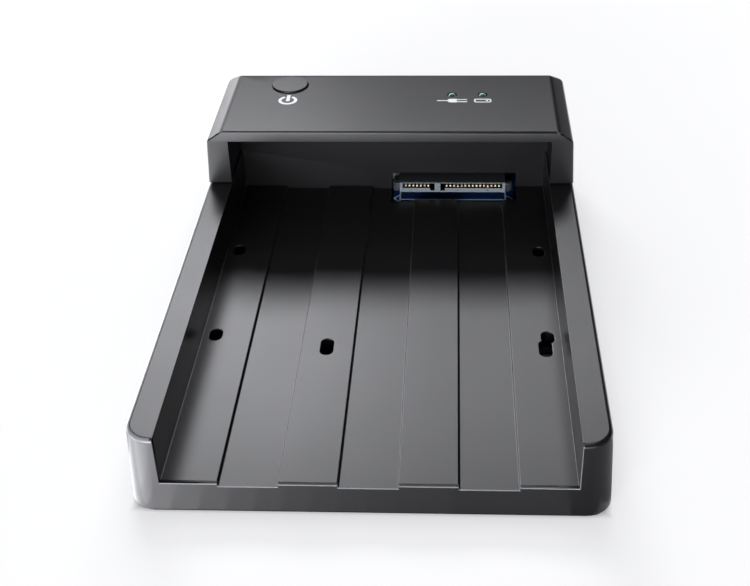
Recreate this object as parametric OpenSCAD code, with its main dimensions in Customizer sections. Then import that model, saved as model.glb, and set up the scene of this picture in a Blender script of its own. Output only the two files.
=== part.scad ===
// Flat hard drive docking station: an open tray, a head with the connector, and the electronics in the head.
// The front faces -Y, the drive slides in along +Y, and the rubber feet stand on Z = 0.

/* [Drive bay] */
// Width between the tray's side walls
bay_w = 103; // [102.6:0.2:106]
// Length of the bay, from the front face to the drive stop
bay_l = 145.9; // [143:0.1:150]
// Height of the raised floor strips above the bottom edge
floor_h = 9.4; // [9:0.1:11]
// Step from a raised floor strip to a lowered one
strip_step = 1; // [0.6:0.1:1.4]
// Width of one floor strip
strip_w = 14.85; // [14:0.05:16]
// Depth of the small ledge at the front end of a raised strip
ledge_d = 0.9; // [0.5:0.1:2]
// Drop of that ledge below the raised strip
ledge_drop = 0.2; // [0.15:0.05:0.6]
// Thickness of the floor under the lowered strips
floor_t = 2.2; // [1.6:0.1:2.4]

/* [Tray shell] */
// Thickness of the moulded walls
wall = 2.2; // [1.8:0.1:2.4]
// Width of each hollow side wall at its foot
side_w = 9; // [8.6:0.1:11]
// Inward lean of the side walls, in degrees
side_draft = 3; // [1:0.25:3.5]
// Height of the side walls above the bottom edge
tray_h = 23.2; // [22.8:0.2:27]
// Depth of the electronics space behind the drive stop, rear wall included
rear_d = 25.1; // [24.8:0.1:30]
// Corner radius at the front, seen from above
front_r = 7; // [5:0.5:9]
// Corner radius at the rear, seen from above
rear_r = 3.25; // [3:0.25:5]
// Rounding of the walls' outer top edge
edge_r = 1.2; // [0.6:0.1:1.6]

/* [Head] */
// Reach of the head over the drive's connector end
recess_d = 22.6; // [20:0.2:30]
// Height of the recess ceiling above the bottom edge
recess_h = 38.6; // [37:0.2:44]
// How far the recess widens behind its front edge
recess_side = 0.7; // [0.3:0.1:0.9]
// Thickness of the head's roof
roof_t = 3.2; // [2.6:0.1:4]
// Run of the sloped edge along the head's sides and rear
bevel_run = 4.6; // [2:0.2:6]
// Drop of that sloped edge
bevel_drop = 3.1; // [2:0.1:3.6]
// Seam between the head and the tray
seam = 0.3; // [0.1:0.05:0.4]

/* [Drive screw slots] */
// Width of the slots
slot_w = 3.7; // [3.4:0.1:4.2]
// Spacing of a large drive's screws across the bay
big_across = 95.25; // [95:0.05:95.5]
// Spacing of a large drive's screws along the bay
big_along = 44.45; // [44:0.05:45]
// First row of a large drive's screws, from the drive stop
big_first = 41.28; // [41:0.02:42]
// Length of a large drive's slots
big_slot = 5.5; // [4.5:0.1:6]
// Spacing of a small drive's screws across the bay
small_across = 61.72; // [61.5:0.02:62]
// Row of a small drive's screws, from the drive stop
small_row = 90.9; // [90:0.1:92]
// Length of a small drive's slots
small_slot = 7.4; // [6:0.1:8]
// Sideways distance from a small drive's centre line to the connector's centre
small_shift = 4.8; // [4.4:0.02:5.2]
// Diameter of the screwdriver holes in the bottom cover
access_d = 9; // [7:0.5:10]

/* [Connector] */
// Distance from the bay's right wall to the connector's centre
conn_side = 30.82; // [30.4:0.02:31.2]
// How far the connector stands in front of the drive stop
conn_reach = 5.3; // [4.5:0.1:6]
// Wall of the mating face beyond each end of its slots
conn_end = 1.025; // [0.8:0.025:1.5]
// Height of the mating face
conn_h = 3.55; // [3.45:0.05:4.4]
// Gap between the board and the mating face
conn_lift = 2.05; // [1.6:0.05:2.4]
// Width of the guide post at each end of the connector
post_w = 2.2; // [1.6:0.1:3]
// Gap between a guide post and the side of the window
window_side = 1; // [0.5:0.1:1.6]
// Sideways distance from the window's middle to the middle of the connector
core_shift = 0.4; // [0:0.05:0.45]
// Depth of the floor notch in front of the drive stop
notch_d = 9; // [8:0.1:11]
// Spacing of the contacts
contact_pitch = 1.27; // [1.2:0.01:1.3]

/* [Power button and lamps] */
// Distance from the bay's left wall to the button's centre
button_side = 16.3; // [14.5:0.1:18.5]
// Distance from the rear face to the button's centre
button_back = 13; // [12.6:0.1:14]
// Diameter of the button's cap
button_d = 12; // [10:0.2:12.4]
// Gap between the cap and its hole
button_gap = 0.3; // [0.2:0.05:0.4]
// How far the cap stands above the roof
button_proud = 0.7; // [0.3:0.1:1.5]
// How far the button goes down
button_travel = 1.5; // [1:0.1:2]
// Sideways place of the first lamp
lamp_x = 20; // [18:0.1:24]
// Spacing of the two lamps
lamp_pitch = 10.16; // [9:0.02:12]
// Distance from the rear face to the lamps
lamp_back = 20.1; // [18:0.1:20.2]
// Diameter of the lamps
lamp_d = 2.6; // [2.4:0.1:3]
// How far the lamps stand above the roof
lamp_proud = 0.5; // [0.1:0.1:0.6]

/* [Electronics] */
// Thickness of the boards
board_t = 1.6; // [1.2:0.1:2]
// Distance from the bay's walls in to the ends of the main board
board_inset = 4.5; // [4:0.1:5.5]
// Drop of the main board's top below the lowered floor strips
board_drop = 0.4; // [0.2:0.1:0.8]
// Length of the posts that carry the indicator board
post_l = 13.4; // [12.8:0.1:14.5]

/* [Bottom cover and feet] */
// Thickness of the bottom cover
plate_t = 2.4; // [2.2:0.1:2.6]
// How far the cover sits inside the tray's bottom edge
plate_sink = 0.2; // [0.1:0.1:0.4]
// Diameter of the rubber feet
foot_d = 12; // [8:0.5:14]
// How far the feet stand out below the tray
foot_proud = 0.8; // [0.6:0.1:3]
// How far the feet sit in the cover
foot_sink = 0.8; // [0.4:0.1:1]

/* [Hidden] */
$fn = 48;

// Cuts run past the faces that they open by this much
over = 1;
// Slack of a piece that drops into its place
fit = 0.25;
// Slack of a pin or a screw in its hole
pin_fit = 0.05;
// Segments in each quarter of a shell's corner
corner_steps = 8;
// Angle between the rings of a rounded edge
edge_angle = 15;

// Levels, counted up from the surface that the feet stand on
z_edge = foot_proud;
z_high = z_edge + floor_h;
z_low = z_high - strip_step;
z_under = z_low - floor_t;
z_tray = z_edge + tray_h;
z_head = z_tray + seam;
z_ceiling = z_edge + recess_h;
z_top = z_ceiling + roof_t;
z_bevel = z_top - bevel_drop;
z_cover = z_edge + plate_sink;
z_plate = z_cover + plate_t;
z_board = z_low - board_drop;
z_board_under = z_board - board_t;
z_small = z_ceiling - post_l;
z_small_under = z_small - board_t;

// Planes across the depth
body_d = bay_l + rear_d;
y_front = -body_d / 2;
y_rear = body_d / 2;
y_stop = y_front + bay_l;
y_head = y_stop - recess_d;
y_bulk = y_stop + wall;
y_inner = y_rear - wall;
y_notch = y_stop - notch_d;
y_button = y_rear - button_back;
y_lamps = y_rear - lamp_back;

// Half width of the outside at a height
base_half = bay_w / 2 + side_w;
function half_w(z) = base_half - (z - z_edge) * tan(side_draft);
bay_half = bay_w / 2;
trough_half = bay_half + wall;
button_x = button_side - bay_half;
conn_x = bay_half - conn_side;
small_x = conn_x - small_shift;

// Screws that hold the bottom cover
cover_screw_out = 0.6;
cover_screw_x = trough_half + cover_screw_out;
cover_screw_inset = [12, 16];
cover_boss_r = 3.2;
cover_shank_r = 1.15;
cover_shank_l = 10;
cover_head_r = 2.5;
cover_head_h = 1.2;
cover_sunk = 1.4;
// Room past a screw's tip
tip_room = 0.5;
cover_first = y_front + cover_screw_inset[0];
cover_last = y_rear - cover_screw_inset[1];
cover_screw_y = [cover_first, (cover_first + cover_last) / 2, cover_last];
cover_screw_at = [for (s = [-1, 1], y = cover_screw_y) [s * cover_screw_x, y]];

// Screws that hold the head on the tray
head_screw_back = 8;
head_shank_r = 1.25;
head_shank_l = 14;
head_head_r = 2.6;
head_head_h = 2;
head_web = 6;
head_sink_r = 3;
head_post_wall = 0.9;
head_post_r = head_sink_r + head_post_wall;
head_boss_r = 3.6;
z_head_seat = z_tray - head_web;
head_front_x = (bay_half + half_w(z_tray)) / 2;
head_corner = [4.6, 3.2];
head_rear_x = half_w(z_tray) - wall - head_corner[0];
head_rear_y = y_inner - head_corner[1];
head_front_y = y_head + head_screw_back;
head_screw_at = [[head_front_x, head_front_y], [-head_front_x, head_front_y],
                 [head_rear_x, head_rear_y], [-head_rear_x, head_rear_y]];

// Rows of the connector's contacts, and the widths around them
signal_n = 7;
power_n = 15;
gap_pitches = 5;
slot_margin = 1.1;
row_half = (signal_n + power_n + gap_pitches - 2) * contact_pitch / 2;
conn_half = row_half + slot_margin + conn_end;
window_half = conn_half + post_w + window_side;

// Small screws that hold the boards
board_screw_r = 1;
board_screw_head_r = 2.2;
board_screw_head_h = 1.5;
board_screw_grip = 4;
board_hole_r = 1.3;
board_boss_r = 2.6;
board_gap = 0.6;
board_half = bay_half - board_inset;
y_board_front = y_bulk + board_gap;
y_board_rear = y_inner - board_gap;
board_screw_side = 2.7;
board_screw_front = 2.9;
board_screw_back = 3.2;
board_screw_y = [y_board_front + board_screw_front, y_board_rear - board_screw_back];
board_screw_at = [for (s = [-1, 1], y = board_screw_y) [s * (board_half - board_screw_side), y]];
tongue_gap = 0.5;
tongue_half = window_half - tongue_gap;

// Indicator board under the roof
small_left_margin = 9.8;
small_right_margin = 7;
small_front_gap = 1;
small_rear_gap = 1.5;
small_left = button_x - small_left_margin;
small_right = lamp_x + lamp_pitch + small_right_margin;
y_small_front = y_bulk + small_front_gap;
y_small_rear = y_inner - small_rear_gap;
// Places of its posts, beside the button and the lamps
post_by_button = [13.4, 3.4];
post_by_lamps = [12, 3];
y_post_rear = y_small_rear - post_by_lamps[1];
small_post_at = [[button_x + post_by_button[0], y_small_front + post_by_button[1]],
                 [lamp_x - post_by_lamps[0], y_post_rear],
                 [lamp_x + lamp_pitch + post_by_lamps[1], y_post_rear]];

// Button, switch and lamps
button_r = button_d / 2;
button_hole_r = button_r + button_gap;
button_lip = 0.9;
button_flange_r = button_hole_r + button_lip;
button_flange_t = 1.2;
button_skin = 2;
sleeve_wall = 1.4;
sleeve_l = 4;
z_flange = z_ceiling - button_gap;
z_cap = z_top + button_proud;
stem_r = 2.8;
plunger_r = 1.6;
switch_w = 8;
switch_h = 7;
switch_floor = 1.6;
switch_fit = 0.1;
// Room left under the stem and under the plunger when the button is down
stem_room = 0.3;
plunger_room = 0.4;
plunger_cover = 0.8;
pin_pitch = 2.5;
pin_w = 0.8;
pin_t = 0.5;
pin_h = 2;
z_switch = z_small + switch_h;
z_stem = z_switch + button_travel + stem_room;
z_plunger = z_flange - button_flange_t - plunger_cover;
z_plunger_foot = z_small + switch_floor + button_travel + plunger_room;
lamp_r = lamp_d / 2;
lamp_fit = 0.35;
lamp_lip = 0.7;
lamp_seat = 0.3;
lamp_hole_r = lamp_r + lamp_fit;
lamp_flange_r = lamp_r + lamp_lip;
lamp_flange_t = 1;
z_lamp = z_top + lamp_proud;
z_lamp_foot = z_ceiling - lamp_seat - lamp_flange_t;
lamp_at = [for (i = [0, 1]) [lamp_x + i * lamp_pitch, y_lamps]];
lead_r = 0.25;
lead_pitch = 2.54;

// Connector, with its contacts in the two keyed slots
conn_back = 2.4;
y_conn = y_stop - conn_reach;
y_conn_rear = y_bulk + conn_back;
z_conn = z_board + conn_lift;
z_conn_top = z_conn + conn_h;
core_x = conn_x - core_shift;
slot_lift = 1.55;
slot_open = 1.8;
slot_mouth = 3;
z_slot = z_conn + slot_lift;
key_open = 0.95;
key_w = 1.5;
key_reach = 2.2;
key_end = 2;
hood_t = 0.35;
hood_back = 0.1;
window_gap = 0.55;
z_window = z_conn_top + hood_t + window_gap;
post_back = 0.6;
post_d = 2.2;
post_drop = 0.5;
post_chamfer = 0.7;
rail_h = 0.95;
contact_w = 0.7;
contact_t = 0.55;
contact_rise = 0.2;
z_contact = z_slot + contact_rise;
contact_back = 0.7;
contact_tail = 0.8;
contact_foot = 1.2;
lock_inset = 0.4;
lock_t = 0.4;
lock_foot = 1.6;
lock_drop = 2.8;
signal_x = [for (i = [0 : signal_n - 1]) core_x - row_half + i * contact_pitch];
power_x = [for (i = [0 : power_n - 1]) core_x + row_half - i * contact_pitch];

// Sockets in the rear wall
port_inset = 0.6;
y_port = y_rear - port_inset;
usb_x = -10.9;
usb_half = 6.1;
usb_shoulder = 8.6;
usb_top_half = 4.2;
usb_h = 12.4;
usb_l = 18;
usb_skin = 0.4;
usb_block = 7;
// Half width, underside and top of the two tongues in the data socket
usb_tongues = [[2.8, 2.6, 5.8], [3.1, 9.3, 10.5]];
usb_tongue_back = 1.4;
usb_contact_n = [4, 5];
usb_contact_w = 0.7;
usb_contact_t = 0.2;
usb_contact_root = 0.8;
usb_contact_back = 2;
jack_x = -31.5;
jack_w = 9;
jack_h = 11;
jack_axis = 6.4;
jack_l = 12.2;
jack_collar_r = 4.1;
jack_bore_r = 3.2;
jack_pin_r = 1.05;
jack_bore_l = 8;
jack_pin_l = 10;
jack_pin_back = 1;
lug_pitch = 4.8;
lug_w = 2.4;
lug_t = 0.5;
lug_h = 4.5;
y_jack_face = y_inner - fit;
y_jack_tip = y_port - jack_pin_back - jack_pin_r;

// Wire harness between the two boards
header_x = 1.6;
header_w = 7.6;
header_d = 6;
header_h = 5.6;
header_gap = 2.6;
y_header = y_conn_rear + header_gap;
wire_n = 5;
wire_r = 0.55;
wire_pitch = 1.3;
wire_run = 2;
z_wire_low = z_board + header_h / 2;
z_wire_high = z_small_under - header_h / 2;

// Components on the main board: place of the centre, then width, depth and height
bridge_at = [conn_x - 4, y_inner - 7.8];
bridge_size = [9, 9, 1.2];
flash_at = [conn_x + 6.8, y_inner - 9.4];
flash_size = [5, 4, 1.6];
crystal_at = [conn_x + 6.8, y_inner - 4];
crystal_size = [8, 3.8, 3.2];
regulator_at = [jack_x + 8.6, y_board_front + 4.2];
regulator_size = [5, 4, 1.6];
inductor_at = [jack_x, y_board_front + 3.4];
inductor_size = [5.8, 5.8, 4];
inductor_ring = [1.8, 2.4];
inductor_groove = 0.4;
can_at = [[jack_x + 9.5, y_inner - 6.6], [conn_x + 17.2, y_inner - 7.6]];
can_base = [6.6, 6.6, 0.8];
can_r = 3.15;
can_h = 7.7;
cap_size = [1.6, 0.8, 0.8];
turned_cap_size = [cap_size[1], cap_size[0], cap_size[2]];
core_cap_at = [for (i = [0 : 3]) [conn_x - 8.8 + i * 3.4, y_inner - 14.4]];
clock_cap_at = [for (i = [0 : 2]) [conn_x + 11.8, y_inner - 4.2 - i * 2.4]];
supply_cap_at = [for (i = [0 : 2]) [jack_x - 7, y_board_front + 6.4 + i * 2.6]];

// Places of the drive slots
big_slot_at = [for (s = [-1, 1], row = [0, 1]) [s * big_across / 2, y_stop - big_first - row * big_along]];
small_slot_at = [for (s = [-1, 1]) [small_x + s * small_across / 2, y_stop - small_row]];

// Places of the feet
foot_edge = 0.5;
foot_from_wall = 5.8;
foot_half_x = bay_half - foot_d / 2 - foot_edge;
foot_half_y = y_inner - foot_from_wall - foot_d / 2 - foot_edge;
foot_at = [for (x = [-1, 1], y = [-1, 1]) [x * foot_half_x, y * foot_half_y]];

// Colours
shell_black = "#2b2c2e";
satin_black = "#1d1e20";
board_blue = "#12306e";
resin_grey = "#a9adb1";
gold = "#d9b45a";
steel = "#b8bcc2";
chip_black = "#17181a";
lamp_green = "#7fae8c";
wire_white = "#e6e4dc";
sleeve_blue = "#23304d";
rubber_black = "#111112";
ferrite_grey = "#3a3b3d";
ceramic_tan = "#b79a72";
wire_grey = "#c9c6bd";

// Corner arc of an outline, as points
function arc(cx, cy, r, start) =
    [for (i = [0 : corner_steps]) let (a = start + 90 * i / corner_steps) [cx + r * cos(a), cy + r * sin(a)]];

// Outline of a shell from above, with its own corner radius at the front and at the rear
function outline(half, yf, yr, rf, rr) =
    concat(arc(half - rr, yr - rr, rr, 0), arc(rr - half, yr - rr, rr, 90),
           arc(rf - half, yf + rf, rf, 180), arc(half - rf, yf + rf, rf, 270));

function ring(z, half, yf, yr, rf, rr) = [for (p = outline(half, yf, yr, rf, rr)) [p[0], p[1], z]];

// Solid through a stack of rings that have the same number of points
module loft(rings) {
    n = len(rings[0]);
    last = len(rings) - 1;
    bottom = [for (i = [0 : n - 1]) i];
    top = [for (i = [n - 1 : -1 : 0]) last * n + i];
    sides = [for (k = [0 : last - 1], i = [0 : n - 1]) let (a = k * n + i, b = k * n + (i + 1) % n)
             each [[a, a + n, b + n], [a, b + n, b]]];
    polyhedron([for (r = rings) each r], concat([bottom], sides, [top]));
}

// Box between two corners
module block(low, high) translate(low) cube(high - low);

// Shape drawn across X and Z, extruded from one Y plane to another
module along_y(y0, y1) translate([0, y1, 0]) rotate([90, 0, 0]) linear_extrude(y1 - y0) children();

module at_each(places) for (p = places) translate([p[0], p[1], 0]) children();

module at_button() translate([button_x, y_button, 0]) children();

module rod(r, z0, z1) translate([0, 0, z0]) cylinder(r = r, h = z1 - z0);

// Outside of the tray, leaning in towards its rounded top edge
module tray_outside() {
    edge = [for (a = [0 : edge_angle : 90])
            let (inset = edge_r * (1 - cos(a)), z = z_tray - edge_r * (1 - sin(a)))
            ring(z, half_w(z) - inset, y_front + inset, y_rear - inset, front_r - inset, rear_r - inset)];
    loft(concat([ring(z_edge, base_half, y_front, y_rear, front_r, rear_r)], edge));
}

function hollow_ring(z) =
    ring(z, half_w(z) - wall, y_front + wall, y_inner, front_r - wall, rear_r - wall);

// Solid of the bay's floor and inner walls, inside the hollow tray
module trough() difference() {
    block([-trough_half, y_front - over, z_under], [trough_half, y_stop - fit, z_tray + over]);
    block([conn_x - window_half, y_notch, z_under - over], [conn_x + window_half, y_stop + over, z_tray]);
}

// Screw posts of the tray
module tray_posts() {
    at_each(cover_screw_at) rod(cover_boss_r, z_plate, z_tray);
    at_each(head_screw_at) rod(head_post_r, z_plate, z_tray + over);
}

module tray_hollow() difference() {
    loft([hollow_ring(z_edge - over), hollow_ring(z_tray - wall)]);
    trough();
    tray_posts();
}

// Opening in the tray's top, behind the drive stop
module tray_rear_opening() difference() {
    translate([0, 0, z_tray - wall - over]) linear_extrude(wall + 2 * over)
        polygon(outline(half_w(z_tray) - wall, y_stop - fit, y_inner, wall / 2, rear_r - wall));
    tray_posts();
}

// Space over the floor strips, one strip at a time, with the ledge at the front of the raised ones
module bay_space() {
    for (k = [-3 : 3]) {
        raised = abs(k) % 2 == 1;
        x0 = k == -3 ? -bay_half : (k - 0.5) * strip_w;
        x1 = k == 3 ? bay_half : (k + 0.5) * strip_w;
        block([x0, y_front - over, raised ? z_high : z_low], [x1, y_stop, z_tray + over]);
        if (raised) block([x0, y_front - over, z_high - ledge_drop], [x1, y_front + ledge_d, z_tray + over]);
    }
}

// Round-ended slot along Y
module slot(length) {
    reach = (length - slot_w) / 2;
    for (s = [-1, 1]) translate([0, s * reach, 0]) rod(slot_w / 2, z_under - over, z_high + over);
    block([-slot_w / 2, -reach, z_under - over], [slot_w / 2, reach, z_high + over]);
}

module drive_slots() {
    at_each(big_slot_at) slot(big_slot);
    at_each(small_slot_at) slot(small_slot);
}

// Outline of the square data socket, grown by a clearance
module usb_outline(grow) translate([usb_x, z_board]) polygon([
    [-usb_half - grow, -grow], [usb_half + grow, -grow], [usb_half + grow, usb_shoulder + grow],
    [usb_top_half + grow, usb_shoulder + grow], [usb_top_half + grow, usb_h + grow],
    [-usb_top_half - grow, usb_h + grow], [-usb_top_half - grow, usb_shoulder + grow],
    [-usb_half - grow, usb_shoulder + grow]]);

module jack_place() translate([jack_x, 0, z_board + jack_axis]) rotate([-90, 0, 0]) children();

module jack_rod(r, y0, y1) jack_place() translate([0, 0, y0]) cylinder(r = r, h = y1 - y0);

module port_openings() {
    along_y(y_inner - over, y_rear + over) usb_outline(fit);
    jack_rod(jack_collar_r + fit, y_inner - over, y_rear + over);
}

module tray_screw_holes() {
    z_tip = z_cover + cover_sunk + cover_shank_l + tip_room;
    at_each(cover_screw_at) rod(cover_shank_r + pin_fit, z_plate - over, z_tip);
    at_each(head_screw_at) {
        rod(head_sink_r, z_plate - over, z_head_seat);
        rod(head_shank_r + fit, z_head_seat - over, z_tray + 2 * over);
    }
}

// Tray: floor strips, hollow side walls and the rear wall with its sockets
module base_tray() color(shell_black) difference() {
    tray_outside();
    tray_hollow();
    tray_rear_opening();
    bay_space();
    drive_slots();
    port_openings();
    tray_screw_holes();
}

// Outside of the head, with sloped edges along its sides and rear and a plain front
module head_outside() {
    top_half = half_w(z_bevel) - bevel_run;
    front_edge_r = 0.6;
    top_rear_r = max(rear_r - bevel_run / 2, 1);
    loft([ring(z_head, half_w(z_head), y_head, y_rear, front_edge_r, rear_r),
          ring(z_bevel, half_w(z_bevel), y_head, y_rear, front_edge_r, rear_r),
          ring(z_top, top_half, y_head, y_rear - bevel_run, front_edge_r, top_rear_r)]);
}

module head_bosses() {
    sleeve_r = button_flange_r + button_gap;
    at_each(head_screw_at) rod(head_boss_r, z_head - over, z_top);
    at_each(small_post_at) rod(board_boss_r, z_small, z_top);
    at_button() difference() {
        rod(sleeve_r + sleeve_wall, z_ceiling - sleeve_l, z_top);
        rod(sleeve_r, z_head, z_ceiling);
    }
}

// Space for the electronics under the roof, around the posts
module head_hollow() difference() {
    translate([0, 0, z_head - over]) linear_extrude(z_ceiling - z_head + over)
        polygon(outline(half_w(z_bevel) - wall, y_bulk, y_inner, wall / 2, rear_r - wall));
    head_bosses();
}

// Pockets in the head's cheeks, beside the recess
module cheek_pockets() difference() {
    for (s = [-1, 1]) {
        inner = s * trough_half;
        outer = s * (half_w(z_bevel) - wall);
        block([min(inner, outer), y_head + wall, z_head - over],
              [max(inner, outer), y_stop - wall, z_ceiling - wall]);
    }
    head_bosses();
}

module head_screw_holes() {
    at_each(head_screw_at) rod(head_shank_r + pin_fit, z_head - over, z_head_seat + head_shank_l + tip_room);
    at_each(small_post_at)
        rod(board_screw_r + pin_fit, z_small - over, z_small + board_screw_grip + tip_room);
}

// Space under the head for the drive's connector end, wider behind its front edge
module recess() {
    lip = 1.8;
    wide = bay_half + recess_side;
    block([-bay_half, y_head - over, z_head - over], [bay_half, y_stop, z_ceiling]);
    block([-wide, y_head + lip, z_head - over], [wide, y_stop, z_ceiling]);
}

// Wall between the bay and the electronics, below the head's bottom edge
module bulkhead_foot() block([-trough_half, y_stop, z_under], [trough_half, y_bulk, z_head + over]);

module connector_window() block([conn_x - window_half, y_stop - over, z_under - over],
                                [conn_x + window_half, y_bulk + over, z_window]);

// Head: roof, cheeks and rear wall, with the bulkhead that stops the drive
module head_cover() color(shell_black) difference() {
    union() {
        difference() {
            head_outside();
            recess();
            head_hollow();
            cheek_pockets();
        }
        bulkhead_foot();
    }
    connector_window();
    head_screw_holes();
    at_button() rod(button_hole_r, z_ceiling - over, z_top + over);
    at_each(lamp_at) rod(lamp_hole_r, z_ceiling - over, z_top + over);
}

// Bottom cover inside the tray's edge, with bosses for the main board
module bottom_cover() color(shell_black) difference() {
    inset = wall + fit;
    union() {
        translate([0, 0, z_cover]) linear_extrude(plate_t)
            polygon(outline(half_w(z_plate) - inset, y_front + inset, y_rear - inset,
                            front_r - inset, rear_r - inset));
        at_each(board_screw_at) rod(board_boss_r, z_cover + plate_t / 2, z_board_under);
    }
    at_each(board_screw_at)
        rod(board_screw_r + pin_fit, z_board_under - board_screw_grip - tip_room, z_board_under + over);
    at_each(cover_screw_at) {
        rod(cover_head_r + fit, z_cover - over, z_cover + cover_sunk);
        rod(cover_shank_r + fit, z_cover, z_plate + over);
    }
    at_each(concat(big_slot_at, small_slot_at)) rod(access_d / 2, z_cover - over, z_plate + over);
    at_each(foot_at) rod(foot_d / 2 + pin_fit, z_cover - over, z_cover + foot_sink);
}

module rubber_feet() color(rubber_black) at_each(foot_at) rod(foot_d / 2, 0, z_cover + foot_sink);

// Screw with a flat head; its seat is at Z = 0, the shank runs up and the head lies below
module screw(shank_r, shank_l, head_r, head_h) {
    cross_w = 0.7;
    cross_half = 0.6 * head_r;
    cross_depth = 0.6 * head_h;
    difference() {
        union() {
            cylinder(r = shank_r, h = shank_l);
            translate([0, 0, -head_h]) cylinder(r = head_r, h = head_h);
        }
        for (a = [0, 90]) rotate([0, 0, a])
            block([-cross_half, -cross_w / 2, -head_h - over],
                  [cross_half, cross_w / 2, cross_depth - head_h]);
    }
}

module cover_screws() color(steel) at_each(cover_screw_at)
    translate([0, 0, z_cover + cover_sunk]) screw(cover_shank_r, cover_shank_l, cover_head_r, cover_head_h);

module head_screws() color(steel) at_each(head_screw_at) translate([0, 0, z_head_seat])
    screw(head_shank_r, head_shank_l, head_head_r, head_head_h);

module small_screw(grip) screw(board_screw_r, grip, board_screw_head_r, board_screw_head_h);

module board_screws() color(steel) at_each(board_screw_at) translate([0, 0, z_board])
    mirror([0, 0, 1]) small_screw(board_t + board_screw_grip);

module indicator_screws() color(steel) at_each(small_post_at) translate([0, 0, z_small_under])
    small_screw(board_t + board_screw_grip);

// Main board, with the tongue that carries the connector through the bulkhead
module main_board() color(board_blue) difference() {
    union() {
        block([-board_half, y_board_front, z_board_under], [board_half, y_board_rear, z_board]);
        block([conn_x - tongue_half, y_notch + fit, z_board_under],
              [conn_x + tongue_half, y_board_front + over, z_board]);
    }
    at_each(board_screw_at) rod(board_hole_r, z_board_under - over, z_board + over);
}

// One keyed slot of the connector, between two X planes, with its key at one end
module keyed_slot(x0, x1, key_x) {
    block([x0, y_conn - over, z_slot], [x1, y_conn + slot_mouth, z_slot + slot_open]);
    block([x0, y_conn - over, z_contact], [x1, y_conn_rear + over, z_slot + slot_open]);
    block([key_x, y_conn - over, z_slot - key_open],
          [key_x + key_w, y_conn_rear - key_end, z_slot + slot_open / 2]);
}

// Guide post beside one end of the mating face, with a low rail behind it that stands on the board
module guide_post(side) {
    inner = core_x + side * conn_half;
    outer = inner + side * post_w;
    post_front = y_conn + post_back;
    x0 = min(inner, outer);
    x1 = max(inner, outer);
    block([x0, post_front + post_d / 2, z_conn], [x1, y_conn_rear, z_conn + rail_h]);
    block([x0, y_bulk, z_board], [x1, y_conn_rear, z_conn + rail_h]);
    difference() {
        block([x0, post_front, z_conn], [x1, post_front + post_d, z_conn_top - post_drop]);
        translate([outer, post_front, 0]) rotate([0, 0, 45])
            block([-post_chamfer, -post_chamfer, z_conn - over],
                  [post_chamfer, post_chamfer, z_conn_top + over]);
    }
}

// Grey core of the connector, with the two keyed slots of its mating face and a guide post at each end
module sata_insulator() color(resin_grey) difference() {
    union() {
        block([core_x - conn_half, y_conn, z_conn], [core_x + conn_half, y_conn_rear, z_conn_top]);
        for (side = [-1, 1]) guide_post(side);
    }
    signal_end = signal_x[signal_n - 1] + key_reach;
    power_end = power_x[power_n - 1] - key_reach;
    keyed_slot(signal_x[0] - slot_margin, signal_end, signal_end - key_w);
    keyed_slot(power_end, power_x[0] + slot_margin, power_end);
}

// Black hood over the core
module sata_hood() color(satin_black)
    block([core_x - conn_half, y_conn + hood_back, z_conn_top],
          [core_x + conn_half, y_conn_rear, z_conn_top + hood_t]);

// Contact: a blade in its slot and a tail down to the board
module contact(x) {
    blade_front = y_conn + contact_back;
    tail = y_conn_rear + contact_tail;
    translate([x - contact_w / 2, 0, 0]) {
        block([0, blade_front, z_contact], [contact_w, tail, z_contact + contact_t]);
        block([0, tail - contact_t, z_board], [contact_w, tail, z_contact + contact_t]);
        block([0, tail - contact_t, z_board], [contact_w, tail + contact_foot, z_board + contact_t]);
    }
}

module sata_signal_contacts() color(gold) for (x = signal_x) contact(x);

module sata_power_contacts() color(gold) for (x = power_x) contact(x);

// Metal tabs that hold the connector's ends down on the board
module sata_board_locks() color(steel) for (s = [-1, 1]) {
    inner = core_x + s * (conn_half + lock_inset);
    outer = core_x + s * (conn_half + post_w - lock_inset);
    x0 = min(inner, outer);
    x1 = max(inner, outer);
    block([x0, y_conn_rear, z_board], [x1, y_conn_rear + lock_t, z_conn_top - lock_drop]);
    block([x0, y_conn_rear, z_board], [x1, y_conn_rear + lock_foot, z_board + lock_t]);
}

// Block that lies on the main board, around the middle of its place
module chip(at, size) translate([at[0] - size[0] / 2, at[1] - size[1] / 2, z_board]) cube(size);

module bridge_chip() color(chip_black) chip(bridge_at, bridge_size);

module flash_chip() color(chip_black) chip(flash_at, flash_size);

module crystal() color(steel) chip(crystal_at, crystal_size);

module regulator() color(chip_black) chip(regulator_at, regulator_size);

module power_inductor() color(ferrite_grey) difference() {
    chip(inductor_at, inductor_size);
    translate([inductor_at[0], inductor_at[1], z_board + inductor_size[2] - inductor_groove]) difference() {
        cylinder(r = inductor_ring[1], h = over);
        cylinder(r = inductor_ring[0], h = over);
    }
}

module electrolytic_caps() color(sleeve_blue) for (p = can_at) {
    chip(p, can_base);
    translate([p[0], p[1], 0]) rod(can_r, z_board + can_base[2] / 2, z_board + can_h);
}

module ceramic_caps() color(ceramic_tan) {
    for (p = concat(core_cap_at, supply_cap_at)) chip(p, cap_size);
    for (p = clock_cap_at) chip(p, turned_cap_size);
}

// Round power socket, its collar standing in the rear wall
module dc_jack_housing() color(satin_black) difference() {
    union() {
        block([jack_x - jack_w / 2, y_jack_face - jack_l, z_board],
              [jack_x + jack_w / 2, y_jack_face, z_board + jack_h]);
        jack_rod(jack_collar_r, y_jack_face - over, y_port);
    }
    jack_rod(jack_bore_r, y_jack_face - jack_bore_l, y_rear + over);
    jack_rod(jack_pin_r + pin_fit, y_jack_face - jack_pin_l, y_jack_face);
}

module dc_jack_pin() color(steel) {
    jack_rod(jack_pin_r, y_jack_face - jack_pin_l, y_jack_tip);
    jack_place() translate([0, 0, y_jack_tip]) sphere(r = jack_pin_r);
}

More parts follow.
